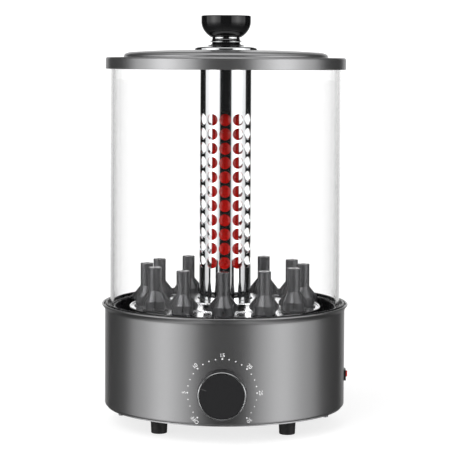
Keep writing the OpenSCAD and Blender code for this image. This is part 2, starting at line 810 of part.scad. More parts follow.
coil_faces = concat(
    [for (k = [1:coil_sides - 2]) [0, k, k + 1]],
    [for (k = [1:coil_sides - 2]) [coil_last, coil_last + k + 1, coil_last + k]],
    [for (i = [0:coil_count + 1], k = [0:coil_sides - 1])
        [i * coil_sides + k, (i + 1) * coil_sides + k,
            (i + 1) * coil_sides + (k + 1) % coil_sides]],
    [for (i = [0:coil_count + 1], k = [0:coil_sides - 1])
        [i * coil_sides + k, (i + 1) * coil_sides + (k + 1) % coil_sides,
            i * coil_sides + (k + 1) % coil_sides]]);
coil_gap = min([for (i = [0:coil_rings], j = [coil_rings - 3:coil_rings + 3])
    norm(coil_point(i) - coil_point(i + j)) - wire_d]);
echo(least_gap_of_heating_coil = coil_gap);

module heating_coil() {
    color("#8c2a10") polyhedron(points = coil_points, faces = coil_faces);
}

// Geared motor under the deck, with two ears and its shaft
module drive_motor() {
    color(steel) translate([motor_x, 0, 0]) difference() {
        union() {
            translate([0, 0, motor_z]) cylinder(d = motor_d, h = motor_h, $fn = 64);
            translate([-ear_w / 2, -ear_reach - ear_w / 2, deck_under - ear_t])
                cube([ear_w, 2 * ear_reach + ear_w, ear_t]);
        }
        for (side = [-1, 1]) translate([0, side * ear_reach, 0])
            drill(screw_hole_r, deck_under - ear_t, ear_t);
        translate([0, 0, deck_under - motor_bore])
            cylinder(r = motor_shaft_r + run_gap, h = motor_bore + cut, $fn = small_fn);
    }
}

// Screws of the motor's ears, with nuts above the deck
module motor_screws() {
    color(steel) for (side = [-1, 1]) translate([motor_x, side * ear_reach, 0]) {
        translate([0, 0, deck_under - ear_t]) screw(screw_d, deck_t + ear_t + nut_t / 2);
        translate([0, 0, deck_z]) cylinder(r = nut_r, h = nut_t / 2, $fn = 6);
    }
}

// Motor pinion with its shaft
module motor_pinion() {
    color("#e6e2d4") translate([motor_x, 0, 0]) {
        translate([0, 0, drive_z])
            gear(motor_teeth, drive_module, 180 / motor_teeth, drive_gear_h, 3);
        translate([0, 0, deck_under - motor_bore + pass_gap])
            cylinder(r = motor_shaft_r, h = drive_z - deck_under + motor_bore, $fn = small_fn);
    }
}

// Drive gear: turns on the flange's boss and carries three lugs up to the turntable
module drive_gear() {
    color("#e6e2d4") difference() {
        union() {
            translate([0, 0, drive_z]) gear(drive_teeth, drive_module, 0, drive_gear_h, 2);
            translate([0, 0, drive_z]) cylinder(r = sleeve_r, h = lug_top - drive_z);
            intersection() {
                translate([0, 0, lug_z]) tube(lug_r, sleeve_in + eps, lug_top - lug_z);
                for (i = [0:lug_n - 1]) rotate([0, 0, 360 * i / lug_n])
                    translate([0, -lug_w / 2, lug_z]) cube([lug_r, lug_w, lug_top - lug_z]);
            }
        }
        translate([0, 0, drive_z - cut]) cylinder(r = sleeve_in, h = lug_top - drive_z + 2 * cut);
        at_angles([for (i = [0:5]) 60 * i + 30], (sleeve_r + drive_root) / 2)
            drill((drive_root - sleeve_r) / 2 - drive_rim, drive_z, drive_gear_h);
    }
}

// Clockwork timer behind the front wall
module timer_case() {
    color(steel) difference() {
        union() {
            translate([-timer_w / 2, timer_y, timer_z - timer_case_h / 2])
                cube([timer_w, timer_depth, timer_case_h]);
            translate([0, timer_y + cut, timer_z]) rotate([90, 0, 0])
                cylinder(r = timer_bush_r, h = body_r + timer_y + timer_nut_t + 2 * cut,
                    $fn = small_fn);
        }
        translate([0, timer_y + timer_depth / 2, timer_z]) rotate([90, 0, 0])
            cylinder(r = timer_shaft_r + run_gap, h = body_r, $fn = small_fn);
    }
}

module timer_nut() {
    color(steel) translate([0, -body_r, timer_z]) rotate([90, 0, 0]) difference() {
        cylinder(r = timer_nut_r, h = timer_nut_t, $fn = 6);
        drill(timer_bush_r + fit_gap, 0, timer_nut_t);
    }
}

module timer_shaft() {
    shaft_back = timer_y + timer_depth / 2 - cut;
    color(steel) translate([0, shaft_back, timer_z]) rotate([90, 0, 0])
        cylinder(r = timer_shaft_r, h = timer_knob_back + timer_shaft_in + shaft_back,
            $fn = small_fn);
}

// Timer knob: tapered drum with a sunk face and a pointer line
module timer_knob() {
    rim = 1.0;
    sink = 0.8;
    edge = 0.6;
    line_w = 0.8;
    line_len = 4.6;
    line_deep = 0.4;
    face_r = timer_face_r - ring_w;
    color(black) translate([0, -timer_knob_back, timer_z]) rotate([90, 0, 0]) difference() {
        rotate_extrude() polygon([[0, 0], [timer_knob_r - edge, 0], [timer_knob_r, edge],
            [timer_knob_r - edge / 3, timer_knob_h - 3 * ring_h],
            [timer_face_r, timer_knob_h - ring_h], [face_r, timer_knob_h - ring_h],
            [face_r, timer_knob_h - rim], [face_r - rim, timer_knob_h - sink],
            [0, timer_knob_h - sink]]);
        translate([0, 0, -cut]) cylinder(r = knob_hollow_r, h = knob_hollow_h + cut);
        translate([0, 0, -cut])
            cylinder(r = timer_shaft_r + fit_gap, h = timer_shaft_in + 1.5 * cut, $fn = small_fn);
        rotate([0, 0, 90 + pointer_angle])
            translate([face_r - rim - line_deep - line_len, -line_w / 2,
                timer_knob_h - sink - line_deep])
                cube([line_len, line_w, line_deep + cut]);
    }
}

// Chrome ring round the knob's face
module timer_knob_ring() {
    bevel = 0.5;
    inner = timer_face_r - ring_w + fit_gap;
    color(bright) translate([0, -timer_knob_back - timer_knob_h + ring_h, timer_z])
        rotate([90, 0, 0]) rotate_extrude() polygon([[inner, 0], [timer_face_r, 0],
            [timer_face_r, ring_h - bevel], [timer_face_r - bevel, ring_h], [inner, ring_h]]);
}

// Frame of the side switch, its bezel's back following the wall
module switch_frame() {
    color(black) difference() {
        union() {
            difference() {
                translate([wall_in, -switch_len / 2, switch_z - switch_high / 2])
                    cube([switch_out + sheet_t, switch_len, switch_high]);
                translate([0, 0, switch_z - switch_high]) cylinder(r = body_r, h = switch_high * 2);
            }
            translate([switch_face - switch_deep, -switch_len / 2 + switch_wall,
                switch_z - switch_high / 2 + switch_wall])
                cube([switch_deep - switch_out / 2, switch_len - 2 * switch_wall,
                    switch_high - 2 * switch_wall]);
        }
        translate([switch_face - switch_deep + 2 * switch_wall, -rocker_half - pass_gap,
            switch_z - rocker_high / 2 - pass_gap])
            cube([switch_deep, 2 * rocker_half + 2 * pass_gap, rocker_high + 2 * pass_gap]);
    }
}

// Rocker: two faces that meet in a shallow valley, tilted about its pivot
module switch_rocker() {
    rise = rocker_half * tan(rocker_tilt);
    back = -rocker_half * 0.6;
    color("#c4161c") translate([rocker_x, 0, switch_z - rocker_high / 2])
        rotate([0, 0, -rocker_tilt]) linear_extrude(rocker_high) intersection() {
            circle(r = rocker_half, $fn = 48);
            polygon([[back, -rocker_half], [2 * rise, -rocker_half], [rise, 0],
                [2 * rise, rocker_half], [back, rocker_half]]);
        }
}

// Power inlet at the back: saddle plate, shroud and socket
module inlet_socket() {
    plate_w = inlet_w + 2 * inlet_ear;
    color(black) difference() {
        union() {
            difference() {
                translate([-plate_w / 2, body_r - inlet_sag,
                    inlet_z - inlet_high / 2 - inlet_plate_t])
                    cube([plate_w, inlet_sag + inlet_plate_t, inlet_high + 2 * inlet_plate_t]);
                translate([0, 0, inlet_z - inlet_high]) cylinder(r = body_r, h = inlet_high * 2);
            }
            translate([-inlet_w / 2, inlet_back, inlet_z - inlet_high / 2])
                cube([inlet_w, inlet_face - inlet_back, inlet_high]);
        }
        translate([-inlet_w / 2 + inlet_wall, inlet_floor, inlet_z - inlet_high / 2 + inlet_wall])
            cube([inlet_w - 2 * inlet_wall, inlet_depth + 1, inlet_high - 2 * inlet_wall]);
        for (p = pin_places)
            translate([p[0] - pin_w / 2 - fit_gap / 2, inlet_back - cut,
                inlet_z + p[1] - pin_high / 2 - fit_gap / 2])
                cube([pin_w + fit_gap, inlet_depth, pin_high + fit_gap]);
        for (side = [-1, 1])
            translate([side * inlet_screw_x, body_r + inlet_plate_t, inlet_z]) rotate([90, 0, 0])
                drill(inlet_screw_d / 2 + fit_gap, 0, inlet_plate_t + inlet_sag);
    }
}

// Contact pins of the inlet, with tabs for the leads behind
module inlet_pins() {
    color(bright) for (p = pin_places)
        translate([p[0] - pin_w / 2, inlet_back - tab_len, inlet_z + p[1] - pin_high / 2])
            cube([pin_w, inlet_face - pin_recess - inlet_back + tab_len, pin_high]);
}

module inlet_screws() {
    color(steel) for (side = [-1, 1])
        translate([side * inlet_screw_x, body_r + inlet_plate_t, inlet_z])
            rotate([90, 0, 0]) screw(inlet_screw_d, inlet_plate_t + inlet_thread);
}

// Terminal block on the base plate
module terminal_block() {
    block = [34, 16, 14];
    block_y = 14;
    ways = 4;
    wire_r = 2.0;
    clamp_r = 1.7;
    wire_z = block[2] * 0.45;
    color("#ece8dc") translate([-block[0] / 2, block_y, shell_z]) difference() {
        cube(block);
        for (i = [0:ways - 1]) translate([block[0] * (i + 0.5) / ways, 0, wire_z]) {
            rotate([-90, 0, 0]) drill(wire_r, 0, block[1]);
            for (j = [0.3, 0.7]) translate([0, block[1] * j, 0])
                cylinder(r = clamp_r, h = block[2], $fn = small_fn);
        }
    }
}

// Thermal cut-out pressed against the deck's under side
module thermal_cutout() {
    place_x = 46;
    cap_r = 8;
    cap_h = 6;
    body_h = 4;
    blade = [3, 0.8, 8];
    blade_y = 3;
    color(black) translate([place_x, 0, deck_under]) mirror([0, 0, 1]) {
        cylinder(r = cap_r, h = cap_h, $fn = small_fn);
        translate([0, 0, cap_h]) cylinder(r = cap_r * 0.8, h = body_h, $fn = small_fn);
        for (side = [-1, 1])
            translate([-blade[0] / 2, side * blade_y - blade[1] / 2, cap_h + body_h]) cube(blade);
    }
}

// Drip tray: rolled bead, flange for the glass, well and central collar
module drip_tray() {
    outer = concat(
        [[collar_in, collar_z], [collar_in, floor_z]],
        arc(well_r - well_taper - well_corner, floor_z + well_corner, well_corner, -90, 0, 6),
        [[well_r, tray_z], [bead_c, tray_z], [bead_c + tray_t / 2, tray_z + tray_t / 2],
            [bead_c + tray_t / 2, tray_z + bead_rise + tray_t / 2]]);
    inner = concat(
        [[bead_c - tray_t / 2, tray_z + bead_rise + tray_t / 2], [bead_c - tray_t / 2, tray_top],
            [well_r - tray_t, tray_top]],
        arc(well_r - well_taper - well_corner, floor_z + well_corner, well_corner - tray_t,
            0, -90, 6),
        [[tray_collar_r, floor_top], [tray_collar_r, collar_z]]);
    color(black) difference() {
        union() {
            rotate_extrude() polygon(concat(outer, inner));
            rotate_extrude() translate([bead_c, tray_top + bead_rise])
                circle(r = bead_r, $fn = small_fn);
        }
        at_angles(rivet_angles, rivet_r) drill(rim_hole_r, floor_z, tray_t);
    }
}

// Sun gear: stands still on the tray floor and turns the cups as they travel round it
module sun_gear() {
    color("#8a8c8e") difference() {
        union() {
            translate([0, 0, gear_z]) gear(sun_teeth, planet_module, 0, gear_h, 2);
            translate([0, 0, floor_top])
                cylinder(r = sun_root - pass_gap, h = gear_z - floor_top + gear_h / 2);
        }
        translate([0, 0, floor_top + sun_web_t])
            cylinder(r = sun_rim_in, h = gear_top - floor_top);
        translate([0, 0, floor_top - cut]) cylinder(r = sun_in, h = gear_top - floor_top);
        at_angles(rivet_angles, rivet_r) drill(rim_hole_r, floor_top, sun_web_t);
    }
}

// Rivets that hold the sun gear to the tray
module sun_rivets() {
    rivet_h = tray_t + sun_web_t;
    head_t = 1.0;
    tail_t = 0.5;
    color(steel) at_angles(rivet_angles, rivet_r) {
        translate([0, 0, floor_z]) cylinder(d = rim_screw_d, h = rivet_h, $fn = small_fn);
        translate([0, 0, floor_z + rivet_h])
            cylinder(r1 = rim_screw_d, r2 = rim_screw_d * 0.6, h = head_t, $fn = small_fn);
        translate([0, 0, floor_z - tail_t]) cylinder(r = rim_screw_d, h = tail_t, $fn = small_fn);
    }
}

// Turntable: polished disc with a raised hub, a rolled edge and twelve bush holes
module turntable() {
    edge_r = disc_r - disc_bead_r;
    ramp = 2.2;
    foot_bend = 0.6;
    hat_bend = 1.2;
    color(bright) difference() {
        union() {
            rotate_extrude() polygon(concat([[hat_in, hat_top], [hat_in, hat_top - disc_t],
                [hub_r, hat_top - disc_t], [hub_r, disc_z], [edge_r - ramp, disc_z],
                [edge_r + disc_t / 2, disc_top + disc_bead_rise],
                [edge_r - disc_t / 2, disc_top + disc_bead_rise],
                [edge_r - ramp - disc_t / 2, disc_top], [hat_r + foot_bend, disc_top],
                [hat_r, disc_top + foot_bend]],
                arc(hat_r - hat_bend, hat_top - hat_bend, hat_bend, 0, 90, 3)));
            rotate_extrude() translate([edge_r, disc_top + disc_bead_rise])
                circle(r = disc_bead_r, $fn = small_fn);
        }
        at_angles(cup_angles, cup_circle)
            drill(disc_hole_r, disc_z, disc_t);
    }
}

// Hub under the turntable: bears on the tray's collar and takes the drive lugs in its notches
module turntable_hub() {
    web_top = hat_top - disc_t;
    color(black) difference() {
        union() {
            translate([0, 0, hub_z]) cylinder(r = hub_r - fit_gap, h = web_top - hub_z);
            translate([0, 0, hub_z - hub_sleeve_h])
                cylinder(r = hub_sleeve_r, h = hub_sleeve_h + cut);
        }
        translate([0, 0, hub_z - hub_sleeve_h - cut])
            cylinder(r = hub_in, h = web_top - hub_z + hub_sleeve_h + 2 * cut);
        translate([0, 0, hub_z - hub_sleeve_h - cut])
            cylinder(r = hub_sleeve_in, h = hub_sleeve_h + cut);
        for (i = [0:lug_n - 1]) rotate([0, 0, 360 * i / lug_n])
            translate([0, -lug_w / 2 - pass_gap, hub_z - cut])
                cube([notch_r, lug_w + 2 * pass_gap, lug_top - hub_z + 2 * cut]);
        at_angles(hub_screw_angles, hub_screw_r) drill(rim_hole_r, hub_z, web_top - hub_z);
    }
}

// Screws that draw the hub up under the turntable
module hub_screws() {
    color(steel) at_angles(hub_screw_angles, hub_screw_r)
        translate([0, 0, hub_z]) screw(rim_screw_d, hat_top - disc_t - hub_z);
}

// Twelve bushes in the turntable for the cups
module cup_bushes() {
    color("#2c2c2e") at_angles(cup_angles, cup_circle)
        difference() {
            union() {
                translate([0, 0, disc_z - bush_below])
                    cylinder(r = bush_r, h = bush_below + disc_t + bush_flange_t / 2, $fn = 48);
                translate([0, 0, disc_top]) cylinder(r = bush_flange_r, h = bush_flange_t, $fn = 48);
            }
            drill(bush_in, disc_z - bush_below, bush_below + disc_t + bush_flange_t);
        }
}

// One skewer cup: socket tube, cone with four fins, round foot, journal and pinion
module skewer_cup(number) {
    a = cup_angles[number - 1];
    core_r = planet_module * pinion_teeth / 4;
    edge = 0.8;
    fin_z = cup_cone_z - fin_end_h;
    root_h = 2.0;
    tip_h = 0.6;
    color(cup_grey) translate([cup_circle * cos(a), cup_circle * sin(a), 0]) difference() {
        union() {
            rotate_extrude($fn = 64) polygon([[0, gear_z], [core_r, gear_z], [core_r, gear_top],
                [journal_r, gear_top + seat_gap], [journal_r, cup_foot_z],
                [cup_foot_r, cup_foot_z], [cup_foot_r, cup_cone_z], [cup_tube_r, cup_tube_z],
                [cup_tube_r, cup_top - edge], [cup_tube_r - edge, cup_top], [0, cup_top]]);
            translate([0, 0, gear_z])
                gear(pinion_teeth, planet_module, 180 / pinion_teeth, gear_h, 3);
            for (i = [0:fin_n - 1]) rotate([0, 0, 360 * i / fin_n]) rotate([90, 0, 0])
                translate([0, 0, -fin_t / 2]) linear_extrude(fin_t)
                    polygon([[0, fin_z - root_h], [cup_foot_r, fin_z - root_h],
                        [fin_reach, fin_z + root_h / 2], [fin_reach, cup_cone_z + tip_h],
                        [cup_tube_r, cup_tube_z + tip_h], [0, cup_tube_z + tip_h]]);
        }
        translate([0, 0, cup_top - socket_depth])
            cylinder(d = socket_d, h = socket_depth + cut, $fn = small_fn);
    }
}

// Glass cylinder, its ends ground to a small chamfer
module glass_cylinder() {
    color([0.8, 0.9, 0.92, 0.3]) rotate_extrude($fn = 144) polygon([
        [glass_in, glass_z + glass_edge], [glass_in + glass_edge, glass_z],
        [glass_r - glass_edge, glass_z], [glass_r, glass_z + glass_edge],
        [glass_r, glass_top - glass_edge], [glass_r - glass_edge, glass_top],
        [glass_in + glass_edge, glass_top], [glass_in, glass_top - glass_edge]]);
}

// Lid: pressed cover with a rim, a flat border and a raised, gently crowned middle
module lid_cover() {
    step_z = lid_z + plateau_step;
    rise = plateau_rise - plateau_step;
    corner = lid_edge_round;
    foot_bend = 0.5;
    crown_r = plateau_r - shoulder_w;
    seat_r = rose_r + 1;
    steps = 6;
    function crown(r) = crown_h * (1 - pow((r - seat_r) / (crown_r - seat_r), 2));
    outer = concat([[lid_r, rim_z]], arc(lid_r - corner, lid_z - corner, corner, 0, 90, 6),
        [[plateau_r + 2 * foot_bend, lid_z], [plateau_r + foot_bend / 2, lid_z + foot_bend]],
        oval(crown_r, step_z, shoulder_w, rise, 0, 90, 8),
        [for (i = [steps - 1:-1:0]) let (r = seat_r + (crown_r - seat_r) * i / steps)
            [r, shoulder_z + crown(r)]],
        [[knob_hole_r, plateau_z]]);
    inner = concat([[knob_hole_r, plateau_z - sheet_t]],
        [for (i = [0:steps - 1]) let (r = seat_r + (crown_r - seat_r) * i / steps)
            [r, shoulder_z + crown(r) - sheet_t]],
        oval(crown_r, step_z, shoulder_w - sheet_t, rise - sheet_t, 90, 0, 8),
        [[plateau_r - sheet_t, lid_under]],
        arc(lid_r - corner, lid_z - corner, corner - sheet_t, 90, 0, 4),
        [[lid_r - sheet_t, rim_z]]);
    color(gunmetal) rotate_extrude($fn = 144) polygon(concat(outer, inner));
}

// Seal ring between lid and glass
module lid_seal() {
    color("#3a3a3a") translate([0, 0, glass_top + seat_gap])
        tube(glass_r + seal_overhang, glass_r + seal_overhang - seal_w, seal_t);
}

// Chrome plate at the knob's foot
module lid_rose() {
    edge_h = 1.8;
    color(bright) translate([0, 0, plateau_z]) difference() {
        rotate_extrude() polygon(concat([[0, 0], [rose_r, 0], [rose_r, edge_h]],
            oval(collar_r, edge_h, rose_r - collar_r - pass_gap, rose_h - edge_h, 0, 90, 8),
            [[0, rose_h]]));
        drill(knob_hole_r, 0, rose_h);
    }
}

// Black collar between plate and neck, spreading towards the plate
module lid_collar() {
    lip = 0.8;
    color(black) translate([0, 0, rose_z]) difference() {
        rotate_extrude() polygon(concat([[0, 0], [collar_r - lip, 0], [collar_r, lip / 2],
            [collar_r, lip]], oval(collar_r, knob_collar_h, collar_r - neck_top_r,
            knob_collar_h - lip, 270, 180, 8), [[0, knob_collar_h]]));
        drill(knob_hole_r, 0, knob_collar_h);
    }
}

// Chrome neck, a hollow-sided cone that spreads downwards
module lid_neck() {
    lip = 0.5;
    color(bright) translate([0, 0, lid_collar_z]) difference() {
        rotate_extrude() polygon(concat([[0, 0], [neck_r - lip, 0]],
            oval(neck_r, neck_h, neck_r - neck_top_r, neck_h - lip, 270, 180, 8),
            [[0, neck_h]]));
        drill(knob_hole_r, 0, neck_h);
    }
}

// Knob: a deep bowl with a straight band and a flat top
module lid_knob() {
    waist_z = lid_knob_h - knob_band_h;
    edge = 1.2;
    color(black) translate([0, 0, neck_z]) difference() {
        rotate_extrude() polygon(concat([[0, 0]],
            oval(0, waist_z, knob_r, knob_bowl_h, -asin(waist_z / knob_bowl_h), 0, 14),
            arc(knob_r - edge, lid_knob_h - edge, edge, 0, 90, 6), [[0, lid_knob_h]]));
        translate([0, 0, -cut]) cylinder(r = knob_hole_r, h = knob_screw_in + cut, $fn = small_fn);
    }
}

// Screw from inside the lid up into the knob
module lid_knob_screw() {
    color(steel) translate([0, 0, plateau_z - sheet_t])
        screw(knob_screw_d, sheet_t + rose_h + knob_collar_h + neck_h + knob_screw_in - cut);
}

base_shell();
base_plate();
feet();
foot_screws();
plate_screws();
deck_plate();
deck_posts();
deck_screws();
column_flange();
column_guard();
column_cap();
ceramic_holders();
quartz_tube();
heating_coil();
heater_rods();
drive_motor();
motor_screws();
motor_pinion();
drive_gear();
timer_case();
timer_nut();
timer_shaft();
timer_knob();
timer_knob_ring();
switch_frame();
switch_rocker();
inlet_socket();
inlet_pins();
inlet_screws();
terminal_block();
thermal_cutout();
drip_tray();
sun_gear();
sun_rivets();
turntable();
turntable_hub();
hub_screws();
cup_bushes();
skewer_cup(1);  // skewer_cup_1
skewer_cup(2);  // skewer_cup_2
skewer_cup(3);  // skewer_cup_3
skewer_cup(4);  // skewer_cup_4
skewer_cup(5);  // skewer_cup_5
skewer_cup(6);  // skewer_cup_6
skewer_cup(7);  // skewer_cup_7
skewer_cup(8);  // skewer_cup_8
skewer_cup(9);  // skewer_cup_9
skewer_cup(10);  // skewer_cup_10
skewer_cup(11);  // skewer_cup_11
skewer_cup(12);  // skewer_cup_12
glass_cylinder();
lid_cover();
lid_seal();
lid_rose();
lid_collar();
lid_neck();
lid_knob();
lid_knob_screw();
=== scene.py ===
"""Dress the vertical skewer grill: smooth surfaces, finishes, dial marks and a plain studio.

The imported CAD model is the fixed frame. Pieces that show are surfaces of revolution or grids of
points worked out here; the rest of the CAD nodes keep their shape and get a finish.
"""

import json
import math

import bmesh
import bpy
import mathutils
import numpy as np
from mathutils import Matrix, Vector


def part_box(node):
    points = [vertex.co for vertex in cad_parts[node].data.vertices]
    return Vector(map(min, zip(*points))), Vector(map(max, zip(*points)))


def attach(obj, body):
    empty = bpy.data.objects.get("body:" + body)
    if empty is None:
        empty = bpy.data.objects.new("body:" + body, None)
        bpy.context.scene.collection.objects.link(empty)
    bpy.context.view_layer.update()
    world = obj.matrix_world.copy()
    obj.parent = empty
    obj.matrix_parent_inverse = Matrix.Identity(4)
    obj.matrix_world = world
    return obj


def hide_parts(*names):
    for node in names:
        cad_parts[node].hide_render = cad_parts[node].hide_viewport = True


bl_info = {
    "name": "Skewer Grill",
    "version": (1, 0, 0),
    "blender": (4, 5, 0),
    "location": "3D View > Sidebar > Grill",
    "description": "Dresses a packed skewer grill with surfaces, finishes and a studio",
    "category": "Object",
}

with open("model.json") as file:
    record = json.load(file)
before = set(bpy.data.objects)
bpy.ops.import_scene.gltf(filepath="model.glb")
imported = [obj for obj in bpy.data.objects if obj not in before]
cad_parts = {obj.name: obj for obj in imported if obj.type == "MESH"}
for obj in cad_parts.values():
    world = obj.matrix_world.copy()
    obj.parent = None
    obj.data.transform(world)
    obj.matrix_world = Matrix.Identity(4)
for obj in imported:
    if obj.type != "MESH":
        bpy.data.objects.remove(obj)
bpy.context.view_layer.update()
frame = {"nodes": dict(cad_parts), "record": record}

MM = 0.001
MERGE = 0.002 * MM
CUPS = 12
FULL_TURN = 2 * math.pi
SCREW_HOLE = 2.6 * MM


def low(node):
    """Lowest corner of a node's box."""
    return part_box(node)[0]


def high(node):
    """Highest corner of a node's box."""
    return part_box(node)[1]


def reach(node):
    """Radius of a round node on the vertical axis, from its box."""
    return max(high(node).x, high(node).y)


def length(name, about, millimetres):
    """A size that a user can change, kept in metres."""
    return bpy.props.FloatProperty(
        name=name, description=about, default=millimetres * MM, unit="LENGTH", precision=5)


def colour(name, about, value):
    """A finish's colour that a user can change."""
    return bpy.props.FloatVectorProperty(
        name=name, description=about, default=value, size=3, subtype="COLOR", min=0.0, max=1.0)


class GrillSizes(bpy.types.PropertyGroup):
    """Sizes that the frame's boxes don't give."""

    sheet: length("Sheet", "Thickness of the pressed sheet of base and lid", 1.0)
    flare: length("Lip flare", "How far the lip stands out past the base wall", 3.0)
    flare_h: length("Flare height", "Height of the flared zone under the lip", 5.8)
    roll: length("Lip roll", "Radius of the rolled lip", 1.0)
    ledge: length("Ledge drop", "Depth of the tray ledge under the lip", 2.0)
    ledge_in: length("Ledge radius", "Inner radius of the tray ledge", 111.8)
    flange: length("Flange", "Width of the turned-in bottom flange", 9.0)
    tray_sheet: length("Tray sheet", "Thickness of the tray sheet", 0.8)
    tray_bead: length("Tray bead", "Radius of the bead on the tray rim", 1.1)
    tray_well: length("Tray well", "Radius of the tray well", 110.4)
    disc_bead: length("Turntable bead", "Radius of the turntable's rolled edge", 0.9)
    hat: length("Hub radius", "Radius of the turntable's raised hub", 46.0)
    bush_hole: length("Bush hole", "Radius of a bush hole in the turntable", 11.44)
    column_wall: length("Column wall", "Wall of the perforated column", 0.8)
    column_hole: length("Column hole", "Radius of a hole in the column", 5.9)
    hole_pitch: length("Hole pitch", "Height from one row of holes to the next", 14.13)
    first_hole: length("First hole", "Height of the lowest row of holes above the hub", 37.7)
    glass_wall: length("Glass wall", "Wall of the glass cylinder", 3.0)
    plateau: length("Lid middle", "Radius of the raised middle of the lid", 101.3)
    shoulder: length("Lid shoulder", "Width of the rounded shoulder of the raised middle", 11.3)
    crown: length("Lid crown", "Height of the gentle crown inside the shoulder", 2.0)
    tube: length("Cup tube", "Radius of a cup's tube", 6.3)
    socket: length("Skewer socket", "Radius of a skewer socket", 2.2)
    socket_depth: length("Socket depth", "Depth of a skewer socket", 40.0)
    fin: length("Fin", "Thickness of a cup's fin", 1.5)
    dial: length("Dial radius", "Radius of the ring of dots round the timer knob", 32.9)
    number_size: length("Number height", "Size of the dial's numbers", 5.0)


class GrillColours(bpy.types.PropertyGroup):
    """Colours of the finishes, linear."""

    gunmetal: colour("Gunmetal", "Metallic paint of base and lid", (0.38, 0.38, 0.385))
    chrome: colour("Chrome", "Column, plate and neck", (0.86, 0.87, 0.88))
    polished: colour("Polished steel", "Turntable", (0.78, 0.78, 0.79))
    cup: colour("Cup coating", "Skewer cups", (0.066, 0.066, 0.069))
    enamel: colour("Tray coating", "Drip tray", (0.006, 0.006, 0.0065))
    quartz: colour("Ruby quartz", "Heater tube", (0.30, 0.006, 0.004))
    rocker: colour("Rocker", "Switch rocker", (0.58, 0.03, 0.02))
    print_white: colour("Print", "Dial marks", (0.93, 0.93, 0.93))


# Outlines and surfaces


def rounded(corners, steps=6):
    """Outline of (r, z, radius) corners: an arc that touches both sides stands in for each corner.

    An arc takes up less than half of the shorter side. One more point stands close to each end of
    it, so that long flat sides shade flat.
    """
    most, brace_radius, brace_side = 0.49, 0.3, 0.008
    points = []
    count = len(corners)
    for i, (x, y, radius) in enumerate(corners):
        here = np.array([x, y])
        if radius == 0:
            points.append(here)
            continue
        back = np.array(corners[i - 1][:2]) - here
        ahead = np.array(corners[(i + 1) % count][:2]) - here
        sides = np.linalg.norm(back), np.linalg.norm(ahead)
        back, ahead = back / sides[0], ahead / sides[1]
        half = math.acos(np.clip(back @ ahead, -1, 1)) / 2
        taken = min(radius / math.tan(half), most * min(sides))
        radius = taken * math.tan(half)
        middle = here + (back + ahead) / np.linalg.norm(back + ahead) * radius / math.sin(half)
        first, last = here + back * taken - middle, here + ahead * taken - middle
        start = math.atan2(first[1], first[0])
        swing = (math.atan2(last[1], last[0]) - start + math.pi) % FULL_TURN - math.pi
        a = start + swing * np.linspace(0, 1, steps + 1)
        near, far = (taken + min(brace_radius * radius, brace_side * side) for side in sides)
        points.append(here + back * near)
        points.extend(middle + radius * np.stack([np.cos(a), np.sin(a)], -1))
        points.append(here + ahead * far)
    return np.array(points)


def ring_section(inner, outer, ends, softness, steps=4):
    """Outline of a plain ring: a rectangle whose corners are eased at its bottom and its top."""
    (bottom, top), (low_soft, high_soft) = ends, softness
    return rounded([(inner, bottom, low_soft), (outer, bottom, low_soft),
                    (outer, top, high_soft), (inner, top, high_soft)], steps)


def arc(centre, radii, start, end, steps):
    """Points of an ellipse's arc, from start to end degrees."""
    a = np.radians(np.linspace(start, end, steps + 1))
    rx, ry = radii
    return np.stack([centre[0] + rx * np.cos(a), centre[1] + ry * np.sin(a)], -1)


def polar(r, a, z):
    """Places on circles about Z: (r cos a, r sin a, z)."""
    return np.stack(np.broadcast_arrays(r * np.cos(a), r * np.sin(a), z), -1)


def turned(outline, columns=192):
    """Surface of revolution about Z: each point (r, z) of the outline goes once round."""
    r, z = np.asarray(outline, float).T[:, :, None]
    return polar(r, np.linspace(0, FULL_TURN, columns, endpoint=False), z)


def facing_front(points, back_y, z):
    """Turn a surface about Z into one about -Y that starts at back_y."""
    x, y, height = np.moveaxis(points, -1, 0)
    return np.stack([x, back_y - height, z + y], -1)


def ring_of(outline, columns=192):
    """A closed outline turned about Z, as one grid for piece()."""
    return turned(outline, columns), True, True


def stack_of(outline, columns=192):
    """An open outline from pole to pole turned about Z, as one grid for piece()."""
    return turned(outline, columns), False, True


def square_walk(side):
    """Places round a square from -1 to 1, as across and along: side steps on each edge."""
    step, edge = np.linspace(-1, 1, side, endpoint=False), np.ones(side)
    return np.concatenate([step, edge, -step, -edge]), np.concatenate([-edge, step, edge, -step])


def spread(hole, border, rows):
    """Straight lines from a hole's edge to the border round it: hole + (border - hole) s."""
    s = np.linspace(0, 1, rows)[:, None, None]
    return hole + (border - hole) * s


def pierced(near, far):
    """Grids for both faces of a sheet round a hole, and for the wall between them in the hole."""
    return [(near, False, True), (far, False, True), (np.stack([near[0], far[0]]), False, True)]


def quads(rows, columns, close_rows, close_columns, start):
    """Index quads between neighbouring rows and columns of a grid of points."""
    r = np.arange(rows if close_rows else rows - 1)
    c = np.arange(columns if close_columns else columns - 1)
    r, c = (a.ravel() for a in np.meshgrid(r, c, indexing="ij"))
    r2, c2 = (r + 1) % rows, (c + 1) % columns
    return start + np.stack([r * columns + c, r * columns + c2, r2 * columns + c2,
                             r2 * columns + c], -1)


def clean(mesh, merge=MERGE):
    """Merge a mesh's doubles and turn its faces outwards."""
    work = bmesh.new()
    work.from_mesh(mesh)
    bmesh.ops.remove_doubles(work, verts=work.verts, dist=merge)
    bmesh.ops.recalc_face_normals(work, faces=work.faces)
    work.to_mesh(mesh)
    work.free()


def shown(name, data):
    """An object for a mesh or a text curve, in the scene."""
    made = bpy.data.objects.new(name, data)
    bpy.context.scene.collection.objects.link(made)
    return made


